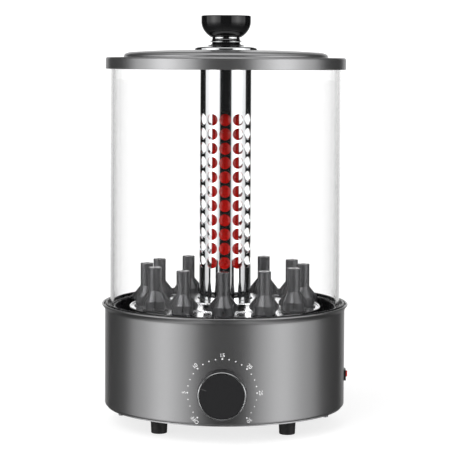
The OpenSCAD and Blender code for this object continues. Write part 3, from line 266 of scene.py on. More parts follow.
def piece(name, slot, body, grids, replaces=(), sharp=38):
    """One mesh from grids of points, its doubles merged and its faces turned outwards.

    Each grid is (points, close_rows, close_columns). Rows that fall on one point make a pole. The
    finish has the slot's name, and a piece that stands for CAD nodes takes over their slot.
    """
    points, faces, start = [], [], 0
    for grid, close_rows, close_columns in grids:
        rows, columns = grid.shape[:2]
        points.append(grid.reshape(-1, 3))
        faces.append(quads(rows, columns, close_rows, close_columns, start))
        start += rows * columns
    mesh = bpy.data.meshes.new(name)
    mesh.from_pydata(np.concatenate(points).tolist(), [], np.concatenate(faces).tolist())
    clean(mesh)
    mesh.shade_smooth()
    mesh.set_sharp_from_angle(angle=math.radians(sharp))
    mesh.materials.append(finish(slot))
    made = shown(name, mesh)
    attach(made, body)
    if replaces:
        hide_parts(*replaces)
    return made


# Finishes


def feed(links, value, socket):
    """Set a socket to a number, or link another node's output to it."""
    if isinstance(value, (int, float)):
        socket.default_value = value
    else:
        links.new(value, socket)


def calculate(nodes, links, kind, *values):
    """A Math node on numbers or sockets."""
    node = nodes.new("ShaderNodeMath")
    node.operation = kind
    for socket, value in zip(node.inputs, values):
        feed(links, value, socket)
    return node.outputs["Value"]


def mapped(nodes, links, value, from_low, from_high, to_low=0.0, to_high=1.0):
    """A Map Range node: from_low becomes to_low, from_high becomes to_high, held in between."""
    node = nodes.new("ShaderNodeMapRange")
    for socket, number in zip(("From Min", "From Max", "To Min", "To Max"),
                              (from_low, from_high, to_low, to_high)):
        node.inputs[socket].default_value = number
    links.new(value, node.inputs["Value"])
    return node.outputs["Result"]


def seen_directly(nodes, links):
    """1 for what the camera sees, also through clear glass, and 0 for light and reflections."""
    path = nodes.new("ShaderNodeLightPath")
    bounced = calculate(nodes, links, "ADD", path.outputs["Glossy Depth"],
                        path.outputs["Diffuse Depth"])
    straight = calculate(nodes, links, "LESS_THAN", bounced, 0.5)
    through = calculate(nodes, links, "MULTIPLY", path.outputs["Is Transmission Ray"], straight)
    return calculate(nodes, links, "MAXIMUM", path.outputs["Is Camera Ray"], through)


class Finish:
    """A node-based material with a few short ways to add detail."""

    def __init__(self, name, base, metallic=0.0, **sockets):
        """In the name of a socket an underscore stands for a space."""
        self.material = bpy.data.materials.new(name + "_finish")
        self.material.use_nodes = True
        self.nodes = self.material.node_tree.nodes
        self.links = self.material.node_tree.links
        self.shader = self.nodes["Principled BSDF"]
        self.shader.inputs["Base Color"].default_value = (*base, 1.0)
        self.shader.inputs["Metallic"].default_value = metallic
        for socket, value in sockets.items():
            self.shader.inputs[socket.replace("_", " ")].default_value = value
        self.base = base
        self.height = None

    def add(self, kind, **settings):
        """A new node with some of its settings."""
        node = self.nodes.new(kind)
        for key, value in settings.items():
            setattr(node, key, value)
        return node

    def place(self, stretch=(1, 1, 1)):
        """Object coordinates, stretched along each axis."""
        where = self.add("ShaderNodeTexCoord")
        mapping = self.add("ShaderNodeMapping")
        mapping.inputs["Scale"].default_value = stretch
        self.links.new(where.outputs["Object"], mapping.inputs["Vector"])
        return mapping.outputs["Vector"]

    def noise(self, scale, detail=2.0, stretch=(1, 1, 1)):
        """Soft noise on object coordinates, from 0 to 1."""
        node = self.add("ShaderNodeTexNoise")
        node.inputs["Scale"].default_value = scale
        node.inputs["Detail"].default_value = detail
        self.links.new(self.place(stretch), node.inputs["Vector"])
        return node.outputs["Fac"]

    def rings(self, scale, detail):
        """Noise on the distance from the vertical axis, as fine turned lines."""
        measure = self.add("ShaderNodeVectorMath", operation="LENGTH")
        self.links.new(self.place((1, 1, 0)), measure.inputs[0])
        node = self.add("ShaderNodeTexNoise", noise_dimensions="1D")
        node.inputs["Scale"].default_value = scale
        node.inputs["Detail"].default_value = detail
        self.links.new(measure.outputs["Value"], node.inputs["W"])
        return node.outputs["Fac"]

    def cells(self, scale):
        """A random grey for each small cell."""
        node = self.add("ShaderNodeTexVoronoi")
        node.inputs["Scale"].default_value = scale
        self.links.new(self.place(), node.inputs["Vector"])
        grey = self.add("ShaderNodeRGBToBW")
        self.links.new(node.outputs["Color"], grey.inputs["Color"])
        return grey.outputs["Val"]

    def vary_roughness(self, value, smooth, rough):
        """Blend the roughness from smooth to rough over the middle of a pattern's range."""
        middle = 0.3, 0.7
        result = mapped(self.nodes, self.links, value, *middle, smooth, rough)
        self.links.new(result, self.shader.inputs["Roughness"])

    def vary_base(self, value, dark, light):
        """Blend the base colour between dark and light times its own value."""
        blend = self.add("ShaderNodeMix", data_type="RGBA")
        blend.inputs["A"].default_value = (*[c * dark for c in self.base], 1.0)
        blend.inputs["B"].default_value = (*[min(1.0, c * light) for c in self.base], 1.0)
        self.links.new(value, blend.inputs["Factor"])
        self.links.new(blend.outputs["Result"], self.shader.inputs["Base Color"])

    def bump(self, value, strength, depth):
        """Add a height, depth in millimetres, on top of any height added before."""
        node = self.add("ShaderNodeBump")
        node.inputs["Strength"].default_value = strength
        node.inputs["Distance"].default_value = depth * MM
        self.links.new(value, node.inputs["Height"])
        if self.height:
            self.links.new(self.height, node.inputs["Normal"])
        self.height = node.outputs["Normal"]
        self.links.new(self.height, self.shader.inputs["Normal"])

    def mix(self, share, first, second):
        """A blend of two shaders, by a number or a socket."""
        node = self.add("ShaderNodeMixShader")
        feed(self.links, share, node.inputs["Fac"])
        self.links.new(first, node.inputs[1])
        self.links.new(second, node.inputs[2])
        return node.outputs["Shader"]

    def end_with(self, shader):
        """Use a shader in place of the material's own one."""
        self.links.new(shader, self.nodes["Material Output"].inputs["Surface"])


def gunmetal_paint(colours):
    """Metallic paint with fine flakes."""
    paint = Finish("gunmetal_paint", colours.gunmetal, 0.9)
    flake = paint.cells(5200.0)
    paint.vary_base(flake, 0.93, 1.07)
    paint.vary_roughness(paint.noise(25.0), 0.30, 0.32)
    paint.bump(flake, 0.03, 0.01)


def chrome_steel(colours):
    """Bright chrome with faint upright wipe marks."""
    chrome = Finish("chrome_steel", colours.chrome, 1.0)
    chrome.vary_roughness(chrome.noise(90.0, 4.0, (1, 1, 0.2)), 0.03, 0.07)
    chrome.bump(chrome.noise(35.0), 0.02, 0.05)


def polished_steel(colours):
    """Steel with fine turned lines round the vertical axis."""
    steel = Finish("polished_steel", colours.polished, 1.0)
    lines = steel.rings(2600.0, 3.0)
    steel.vary_roughness(lines, 0.10, 0.24)
    steel.bump(lines, 0.10, 0.02)


def grey_cup_coating(colours):
    """Smooth dark grey coating on the cast cups."""
    coat = Finish("grey_cup_coating", colours.cup, 0.5)
    coat.vary_roughness(coat.noise(60.0), 0.18, 0.22)
    coat.vary_base(coat.noise(90.0), 0.96, 1.04)
    coat.bump(coat.noise(2600.0), 0.04, 0.02)


def black_enamel(colours):
    """Baked enamel, faintly uneven."""
    coat = Finish("black_enamel", colours.enamel, Specular_IOR_Level=0.45)
    coat.vary_roughness(coat.noise(220.0, 3.0), 0.22, 0.36)
    coat.bump(coat.noise(900.0, 3.0), 0.08, 0.05)


def black_gloss_plastic(colours):
    """Deep black plastic, almost a mirror."""
    gloss = Finish("black_gloss_plastic", (0.008, 0.008, 0.0085))
    gloss.vary_roughness(gloss.noise(160.0, 3.0), 0.05, 0.10)
    gloss.bump(gloss.noise(60.0), 0.02, 0.06)


def black_satin_plastic(colours):
    """Black plastic with a fine moulded grain."""
    satin = Finish("black_satin_plastic", (0.017, 0.017, 0.018))
    satin.vary_roughness(satin.noise(500.0), 0.36, 0.48)
    satin.bump(satin.cells(3800.0), 0.06, 0.03)


def foot_rubber(colours):
    """Matt black rubber."""
    rubber = Finish("foot_rubber", (0.013, 0.013, 0.013))
    rubber.vary_roughness(rubber.noise(260.0, 4.0), 0.52, 0.74)
    rubber.bump(rubber.noise(1500.0, 3.0), 0.25, 0.06)


def seal_rubber(colours):
    """Dark grey rubber of the lid's seal."""
    rubber = Finish("seal_rubber", (0.045, 0.045, 0.046))
    rubber.vary_roughness(rubber.noise(300.0, 3.0), 0.5, 0.7)
    rubber.bump(rubber.noise(1200.0), 0.2, 0.04)


def zinc_steel(colours):
    """Plated sheet with soft cloudy patches."""
    zinc = Finish("zinc_steel", (0.55, 0.55, 0.56), 1.0)
    zinc.vary_base(zinc.noise(45.0, 5.0), 0.86, 1.08)
    zinc.vary_roughness(zinc.noise(80.0, 4.0), 0.3, 0.48)
    zinc.bump(zinc.noise(700.0, 3.0), 0.08, 0.04)


def screw_steel(colours):
    """Bright steel of screws and other small hardware."""
    steel = Finish("screw_steel", (0.58, 0.58, 0.60), 1.0)
    steel.vary_roughness(steel.noise(600.0, 3.0), 0.22, 0.4)
    steel.bump(steel.noise(1800.0), 0.08, 0.03)


def grey_casting(colours):
    """Rough grey cast metal."""
    cast = Finish("grey_casting", (0.33, 0.33, 0.34), 0.9)
    cast.vary_base(cast.noise(200.0, 4.0), 0.85, 1.1)
    cast.vary_roughness(cast.noise(350.0, 3.0), 0.42, 0.62)
    cast.bump(cast.noise(1100.0, 4.0), 0.3, 0.05)


def white_ceramic(colours):
    """Dull off-white ceramic."""
    stone = Finish("white_ceramic", (0.78, 0.76, 0.70))
    stone.vary_base(stone.noise(400.0, 4.0), 0.93, 1.04)
    stone.vary_roughness(stone.noise(250.0, 3.0), 0.6, 0.8)
    stone.bump(stone.noise(1600.0, 3.0), 0.2, 0.05)


def cream_plastic(colours):
    """Cream plastic that light enters a little."""
    nylon = Finish("cream_plastic", (0.74, 0.71, 0.62), Subsurface_Weight=0.1)
    nylon.vary_base(nylon.noise(150.0, 3.0), 0.96, 1.03)
    nylon.vary_roughness(nylon.noise(400.0), 0.38, 0.52)
    nylon.bump(nylon.noise(1300.0), 0.1, 0.03)


def pin_brass(colours):
    """Brass under a pale plating."""
    brass = Finish("pin_brass", (0.76, 0.71, 0.58), 1.0)
    brass.vary_roughness(brass.noise(500.0, 3.0), 0.2, 0.35)
    brass.bump(brass.noise(1500.0), 0.06, 0.03)


def heater_wire(colours):
    """Resistance wire, browned by heat."""
    wire = Finish("heater_wire", (0.30, 0.13, 0.07), 0.8)
    wire.vary_base(wire.noise(500.0, 3.0), 0.6, 1.2)
    wire.vary_roughness(wire.noise(700.0), 0.4, 0.65)


def red_quartz(colours):
    """Ruby quartz that glows a little, so that it shows its red in the dark column."""
    ruby = Finish("red_quartz", colours.quartz, Coat_Weight=0.3, Coat_Roughness=0.05,
                  Emission_Color=(*colours.quartz, 1.0), Emission_Strength=0.25)
    ruby.vary_base(ruby.noise(25.0, 2.0, (1, 1, 0.3)), 0.9, 1.08)
    ruby.vary_roughness(ruby.noise(120.0, 3.0), 0.16, 0.3)


def red_plastic(colours):
    """Smooth red plastic of the rocker."""
    red = Finish("red_plastic", colours.rocker)
    red.vary_roughness(red.noise(400.0), 0.18, 0.28)
    red.bump(red.noise(900.0), 0.04, 0.03)


def clear_glass(colours):
    """Clear glass that lets light through to what stands inside."""
    glass = Finish("clear_glass", (1.0, 1.0, 1.0), Roughness=0.0, Transmission_Weight=1.0, IOR=1.2)
    clear = glass.add("ShaderNodeBsdfTransparent")
    clear.inputs["Color"].default_value = (0.99, 0.99, 0.99, 1.0)
    path = glass.add("ShaderNodeLightPath")
    glass.end_with(glass.mix(path.outputs["Is Shadow Ray"], glass.shader.outputs["BSDF"],
                             clear.outputs["BSDF"]))


def dial_print(colours):
    """White ink of the dial marks."""
    ink = Finish("dial_print", colours.print_white)
    ink.vary_base(ink.noise(900.0, 3.0), 0.9, 1.0)
    ink.vary_roughness(ink.noise(700.0), 0.42, 0.6)


def pointer_print(colours):
    """Dark ink of the knob's pointer."""
    ink = Finish("pointer_print", (0.07, 0.07, 0.07))
    ink.vary_base(ink.noise(900.0, 3.0), 0.85, 1.1)
    ink.vary_roughness(ink.noise(700.0), 0.4, 0.6)


MAKERS = (gunmetal_paint, chrome_steel, polished_steel, grey_cup_coating, black_enamel,
          black_gloss_plastic, black_satin_plastic, foot_rubber, seal_rubber, zinc_steel,
          screw_steel, grey_casting, white_ceramic, cream_plastic, pin_brass, heater_wire,
          red_quartz, red_plastic, clear_glass, dial_print, pointer_print)


def finish(name):
    """The finished material of that name, made when it is first asked for."""
    if name + "_finish" not in bpy.data.materials:
        maker = next(m for m in MAKERS if m.__name__ == name)
        maker(bpy.context.scene.grill_colours)
    return bpy.data.materials[name + "_finish"]


# Operators, one for each piece or group of like pieces


class GRILL_OT_nodes(bpy.types.Operator):
    """Give each CAD node the finish of its material slot"""

    bl_idname = "grill.nodes"
    bl_label = "Node Finishes"
    bl_options = {"REGISTER", "UNDO"}

    def execute(self, context):
        for entry in frame["record"]["subparts"]:
            node = frame["nodes"][entry["node"]]
            node.data.materials.clear()
            node.data.materials.append(finish(entry["material_slot"]))
        return {"FINISHED"}


class GRILL_OT_base(bpy.types.Operator):
    """Base shell: a drawn drum with a flared, rolled lip and a ledge for the tray"""

    bl_idname = "grill.base"
    bl_label = "Base Shell"
    bl_options = {"REGISTER", "UNDO"}

    def execute(self, context):
        sizes = context.scene.grill_sizes
        box_low, box_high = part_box("base_shell")
        bottom, top = box_low.z, box_high.z
        lip_z, roll_c = top - sizes.roll, box_high.x - sizes.roll
        wall = box_high.x - sizes.flare
        inside, flange_in = wall - sizes.sheet, wall - sizes.flange
        flange_z = bottom + sizes.sheet
        ledge_z = lip_z - sizes.ledge
        under = ledge_z - sizes.sheet
        share = np.linspace(0, 1, 11)
        # The flare's radius grows as 1 - cos over its height and ends inside the roll.
        swell = sizes.flare - 0.6 * sizes.roll
        flare = np.stack([wall + swell * (1 - np.cos(math.pi / 2 * share)),
                          lip_z - sizes.flare_h + (sizes.flare_h - sizes.roll) * share], -1)
        outline = np.concatenate([
            rounded([(inside, flange_z, 0), (flange_in, flange_z, 0.3 * MM),
                     (flange_in, bottom, 0.3 * MM), (wall, bottom, 2.0 * MM),
                     (wall, top, 0)])[1:-1],
            flare,
            arc((roll_c, lip_z), (sizes.roll, sizes.roll), -55, 180, 14),
            rounded([(roll_c - sizes.roll, lip_z, 0), (roll_c - sizes.roll, ledge_z, 0.5 * MM),
                     (sizes.ledge_in, ledge_z, 0.3 * MM), (sizes.ledge_in, under, 0.3 * MM),
                     (inside, under, 0.5 * MM), (inside, flange_z, 1.0 * MM),
                     (flange_in, flange_z, 0)])[1:-1]])
        piece("base_shell_skin", "gunmetal_paint", "base", [ring_of(outline, 256)],
              ["base_shell"])
        return {"FINISHED"}


class GRILL_OT_feet(bpy.types.Operator):
    """Four rubber feet, each a softly tapered cup round its screw"""

    bl_idname = "grill.feet"
    bl_label = "Feet"
    bl_options = {"REGISTER", "UNDO"}

    def execute(self, context):
        top = high("feet").z
        top_r, tip_r, recess_r, hole_r = 8.5 * MM, 7.7 * MM, 5.0 * MM, 2.1 * MM
        stand = high("feet").x - top_r
        outline = rounded([(hole_r, top, 0.2 * MM), (hole_r, top / 2, 0.2 * MM),
                           (recess_r, top / 2, 0.3 * MM), (recess_r, 0, 0.5 * MM),
                           (tip_r, 0, 0.8 * MM), (top_r, top, 0.4 * MM)])
        grids = [(turned(outline, 64) + np.array([x, y, 0]), True, True)
                 for x in (-stand, stand) for y in (-stand, stand)]
        piece("rubber_feet", "foot_rubber", "base", grids, ["feet"])
        return {"FINISHED"}


class GRILL_OT_dial(bpy.types.Operator):
    """Dots, OFF and plain minute numbers printed on the wall round the timer knob"""

    bl_idname = "grill.dial"
    bl_label = "Dial Marks"
    bl_options = {"REGISTER", "UNDO"}

    def execute(self, context):
        self.sizes = context.scene.grill_sizes
        self.wall = high("base_shell").x - self.sizes.flare
        self.centre_z = (low("timer_knob").z + high("timer_knob").z) / 2
        self.film = 0.05 * MM
        last, wide_step, fine_step = 135, 45, 11.25
        large, small = 0.85 * MM, 0.64 * MM
        major = np.arange(-last, last + 1, wide_step)
        minor = np.setdiff1d(np.arange(-last, last + 0.1, fine_step), major)
        grids = [self.dot(a, large) for a in major] + [self.dot(a, small) for a in minor]
        piece("dial_dots", "dial_print", "base", grids)
        for angle, word in zip(major, ("OFF", "5", "10", "15", "20", "25", "30")):
            self.word(word, math.radians(angle))
        return {"FINISHED"}

    def on_wall(self, x, z, lift):
        """Wrap flat places onto the drum: x is kept and y follows the circle of the wall."""
        r = self.wall + lift
        return np.stack([x, -np.sqrt(r * r - x * x), z], -1)

    def dot(self, angle, radius):
        """A thin disc: rings of radius s and height h(s), wrapped onto the wall."""
        s = np.array([0, 0.6, 0.92, 1.0, 1.0, 0])[:, None] * radius
        lift = np.array([1, 1, 0.9, 0.4, -0.4, -0.4])[:, None] * self.film
        t = np.linspace(0, FULL_TURN, 20, endpoint=False)
        a = math.radians(angle)
        x = self.sizes.dial * math.sin(a) + s * np.cos(t)
        z = self.centre_z + self.sizes.dial * math.cos(a) + s * np.sin(t)
        return self.on_wall(x, z, lift), False, True

    def word(self, text, a):
        """Letters set flat, made a mesh, turned to stand on the ring and wrapped onto the wall."""
        name, gap = "dial_" + text, 3.3 * MM
        curve = bpy.data.curves.new(name, "FONT")
        curve.body = text
        curve.size = self.sizes.number_size
        curve.align_x, curve.align_y = "CENTER", "CENTER"
        curve.extrude = self.film / 2
        curve.offset = 0.05 * MM
        letters = shown(name, curve)
        mesh = bpy.data.meshes.new_from_object(letters)
        bpy.data.objects.remove(letters)
        clean(mesh, MERGE / 2)
        flat = np.empty(len(mesh.vertices) * 3)
        mesh.vertices.foreach_get("co", flat)
        x, y, h = flat.reshape(-1, 3).T
        out = y + (self.sizes.dial + gap)
        across = x * math.cos(a) + out * math.sin(a)
        up = -x * math.sin(a) + out * math.cos(a)
        wrapped = self.on_wall(across, self.centre_z + up, h + self.film / 3)
        mesh.vertices.foreach_set("co", wrapped.ravel())
        mesh.materials.clear()
        mesh.materials.append(finish("dial_print"))
        made = shown(name, mesh)
        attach(made, "base")


class GRILL_OT_timer_knob(bpy.types.Operator):
    """Timer knob with its chrome ring and pointer"""

    bl_idname = "grill.timer_knob"
    bl_label = "Timer Knob"
    bl_options = {"REGISTER", "UNDO"}

    def execute(self, context):
        box_low, box_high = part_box("timer_knob")
        ring_low, ring_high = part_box("timer_knob_ring")
        z = (box_low.z + box_high.z) / 2
        back_y = box_high.y
        depth = back_y - ring_low.y
        skirt_r, face_r = box_high.x, ring_high.x
        ring_h, sink, taper, shoulder = 1.6 * MM, 0.8 * MM, 0.2 * MM, 4.8 * MM
        hollow_r, hollow_h, shaft_r = 11.0 * MM, 7.0 * MM, 3.1 * MM
        ring_in = face_r - 1.3 * MM
        step_z, face_z, shaft_z = depth - ring_h, depth - sink, depth - 3.0 * MM
        body = rounded([(0, shaft_z, 0), (shaft_r, shaft_z, 0),
                        (shaft_r, hollow_h, 0.2 * MM), (hollow_r, hollow_h, 0.4 * MM),
                        (hollow_r, 0, 0.2 * MM), (skirt_r, 0, 0.5 * MM),
                        (skirt_r - taper, depth - shoulder, 4.0 * MM),
                        (face_r, step_z, 0.15 * MM), (ring_in, step_z, 0.1 * MM),
                        (ring_in, depth - 1.0 * MM, 0.15 * MM),
                        (ring_in - 1.0 * MM, face_z, 0.8 * MM), (0, face_z, 0)], 5)
        piece("timer_knob_drum", "black_satin_plastic", "timer_knob",
              [(facing_front(turned(body, 160), back_y, z), False, True)], ["timer_knob"])
        bezel_in, ease = ring_in + 0.1 * MM, 0.4 * MM
        ring = rounded([(bezel_in, step_z, 0.05 * MM), (face_r, step_z, 0.1 * MM),
                        (face_r, depth - ease, ease), (face_r - ease, depth, ease),
                        (bezel_in, depth, 0.3 * MM)], 5)
        piece("timer_knob_chrome_ring", "chrome_steel", "timer_knob",
              [(facing_front(turned(ring, 160), back_y, z), True, True)], ["timer_knob_ring"])
        self.pointer(ring_in - 1.2 * MM, back_y - face_z, z)
        return {"FINISHED"}

    def pointer(self, end, face_y, z):
        """A low rounded bar on the face, from the rim inwards, as the photo's thin line."""
        half_w, long, height = 0.32 * MM, 4.4 * MM, 0.12 * MM
        angle = math.radians(70.6)
        t = np.linspace(0, FULL_TURN, 24, endpoint=False)
        ends = np.where(np.cos(t) > 0, 0.0, -long)
        width, rise = np.array([[0, -0.3], [1, -0.3], [1, 0.5], [0.8, 1.0], [0, 1.0]]).T[:, :, None]
        along = np.where(width == 0, end - long / 2, end + ends + half_w * np.cos(t) * width)
        side = half_w * np.sin(t) * width
        x = -along * math.sin(angle) + side * math.cos(angle)
        up = along * math.cos(angle) + side * math.sin(angle)
        y = face_y - rise * height + 0 * x
        piece("timer_knob_pointer", "pointer_print", "timer_knob",
              [(np.stack([x, y, z + up], -1), False, True)])


class GRILL_OT_switch(bpy.types.Operator):
    """Rocker of the side switch: two shallow faces with eased edges"""

    bl_idname = "grill.switch"
    bl_label = "Switch Rocker"
    bl_options = {"REGISTER", "UNDO"}

    def execute(self, context):
        box_low, box_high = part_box("switch_rocker")
        tilt = math.radians(11.0)
        half, pivot_x, ease = 5.3 * MM, 120.48 * MM, 0.35 * MM
        rise = half * math.tan(tilt)
        back, back_y = -0.6 * half, 0.75 * half
        # The face is a parabola: rise at the pivot and twice that at both ends.
        face_end = half * 0.98
        face_y = np.linspace(face_end, -face_end, 15)
        face_x = rise + rise * (face_y / half) ** 2
        outline = np.concatenate([
            np.stack([face_x, face_y], -1),
            rounded([(2 * rise, -half, 0), (0.4 * rise, -half, 0.4 * MM),
                     (back, -back_y, 0.6 * MM), (back, back_y, 0.6 * MM),
                     (0.4 * rise, half, 0.4 * MM), (2 * rise, half, 0)])[1:-1]])
        eased = 1 - ease / half
        levels = [(box_low.z, 0.0), (box_low.z, eased), (box_low.z + ease, 1.0),
                  (box_high.z - ease, 1.0), (box_high.z, eased), (box_high.z, 0.0)]
        turn = np.array([[math.cos(tilt), math.sin(tilt)], [-math.sin(tilt), math.cos(tilt)]])
        rows = [np.column_stack([(outline * scale) @ turn.T + (pivot_x, 0),
                                 np.full(len(outline), z)]) for z, scale in levels]
        piece("switch_rocker_cap", "red_plastic", "switch_rocker",
              [(np.array(rows), False, True)], ["switch_rocker"], sharp=50)
        return {"FINISHED"}


class GRILL_OT_tray(bpy.types.Operator):
    """Drip tray: central collar, floor, well wall, flange and rim bead"""

    bl_idname = "grill.tray"
    bl_label = "Drip Tray"
    bl_options = {"REGISTER", "UNDO"}

    def execute(self, context):
        sizes = context.scene.grill_sizes
        box_low, box_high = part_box("drip_tray")
        t, floor_z = sizes.tray_sheet, box_low.z
        collar_z, flange_z = floor_z + 12.7 * MM, floor_z + 16.8 * MM
        collar_in, taper = 34.0 * MM, 1.0 * MM
        bead_c = box_high.x - sizes.tray_bead
        bead_z = box_high.z - sizes.tray_bead
        well = sizes.tray_well
        outline = np.concatenate([
            rounded([(collar_in, collar_z, 0.2 * MM), (collar_in, floor_z, 1.2 * MM),
                     (well - taper, floor_z, 4.0 * MM), (well, flange_z, 0.8 * MM),
                     (bead_c, flange_z, 0.8 * MM)]),
            arc((bead_c, bead_z), (sizes.tray_bead, sizes.tray_bead), -70, 250, 20),
            rounded([(bead_c - t, bead_z, 0), (bead_c - t, flange_z + t, 0.5 * MM),
                     (well - t, flange_z + t, 1.4 * MM), (well - taper - t, floor_z + t, 3.2 * MM),
                     (collar_in + t, floor_z + t, 0.6 * MM), (collar_in + t, collar_z, 0.2 * MM),
                     (collar_in, collar_z, 0)])[1:-1]])
        piece("drip_tray_pan", "black_enamel", "tray", [ring_of(outline, 256)], ["drip_tray"])
        return {"FINISHED"}


class GRILL_OT_turntable(bpy.types.Operator):
    """Turntable: a polished disc with raised hub, rolled edge and twelve bush holes"""

    bl_idname = "grill.turntable"
    bl_label = "Turntable"
    bl_options = {"REGISTER", "UNDO"}

    def execute(self, context):
        sizes = context.scene.grill_sizes
        box_low, box_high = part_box("turntable")
        t, bead = 0.8 * MM, sizes.disc_bead
        bottom, top = box_low.z, box_low.z + t
        hat_top = box_high.z
        edge_c = box_high.x - bead
        bead_z = top + 0.8 * MM
        hole_in = 27.5 * MM
        ring_in, ring_out = 60.0 * MM, 91.4 * MM
        side = 16
        columns = side * CUPS
        hub = rounded([(ring_in, top, 0), (sizes.hat, top, 1.2 * MM),
                       (sizes.hat, hat_top, 1.4 * MM), (hole_in, hat_top, 0.25 * MM),
                       (hole_in, hat_top - t, 0.25 * MM), (sizes.hat - t, hat_top - t, 0.6 * MM),
                       (sizes.hat - t, bottom, 0.4 * MM), (ring_in, bottom, 0)])
        edge = np.concatenate([
            rounded([(ring_out, bottom, 0), (edge_c - 2.0 * MM, bottom, 2.0 * MM),
                     (edge_c + 0.2 * MM, bead_z - 0.6 * MM, 0)])[:-1],
            arc((edge_c, bead_z), (bead, bead), -60, 215, 16),
            rounded([(edge_c - 0.6 * MM, bead_z - 0.4 * MM, 0), (edge_c - 2.4 * MM, top, 1.2 * MM),
                     (ring_out, top, 0)])[1:]])
        grids = [(turned(hub, columns), False, True), (turned(edge, columns), False, True)]
        angle, r = np.moveaxis(self.sector(side, ring_in, ring_out, sizes.bush_hole), -1, 0)
        for i in range(CUPS):
            a = angle + FULL_TURN * i / CUPS
            grids += pierced(polar(r, a, bottom), polar(r, a, top))
        piece("turntable_disc", "polished_steel", "carousel", grids, ["turntable"])
        return {"FINISHED"}

    def sector(self, side, ring_in, ring_out, hole_r):
        """One sector of the ring round a hole, as (angle, r): lines from the hole to the border."""
        centre = 78.3 * MM
        across, along = square_walk(side)
        border_r = np.where(along > 0, centre + along * (ring_out - centre),
                            centre + along * (centre - ring_in))
        border = np.stack([across * math.pi / CUPS, border_r], -1)
        t = np.arctan2(border_r - centre, border[:, 0] * centre)
        x, y = centre + hole_r * np.sin(t), hole_r * np.cos(t)
        return spread(np.stack([np.arctan2(y, x), np.hypot(x, y)], -1), border, 5)


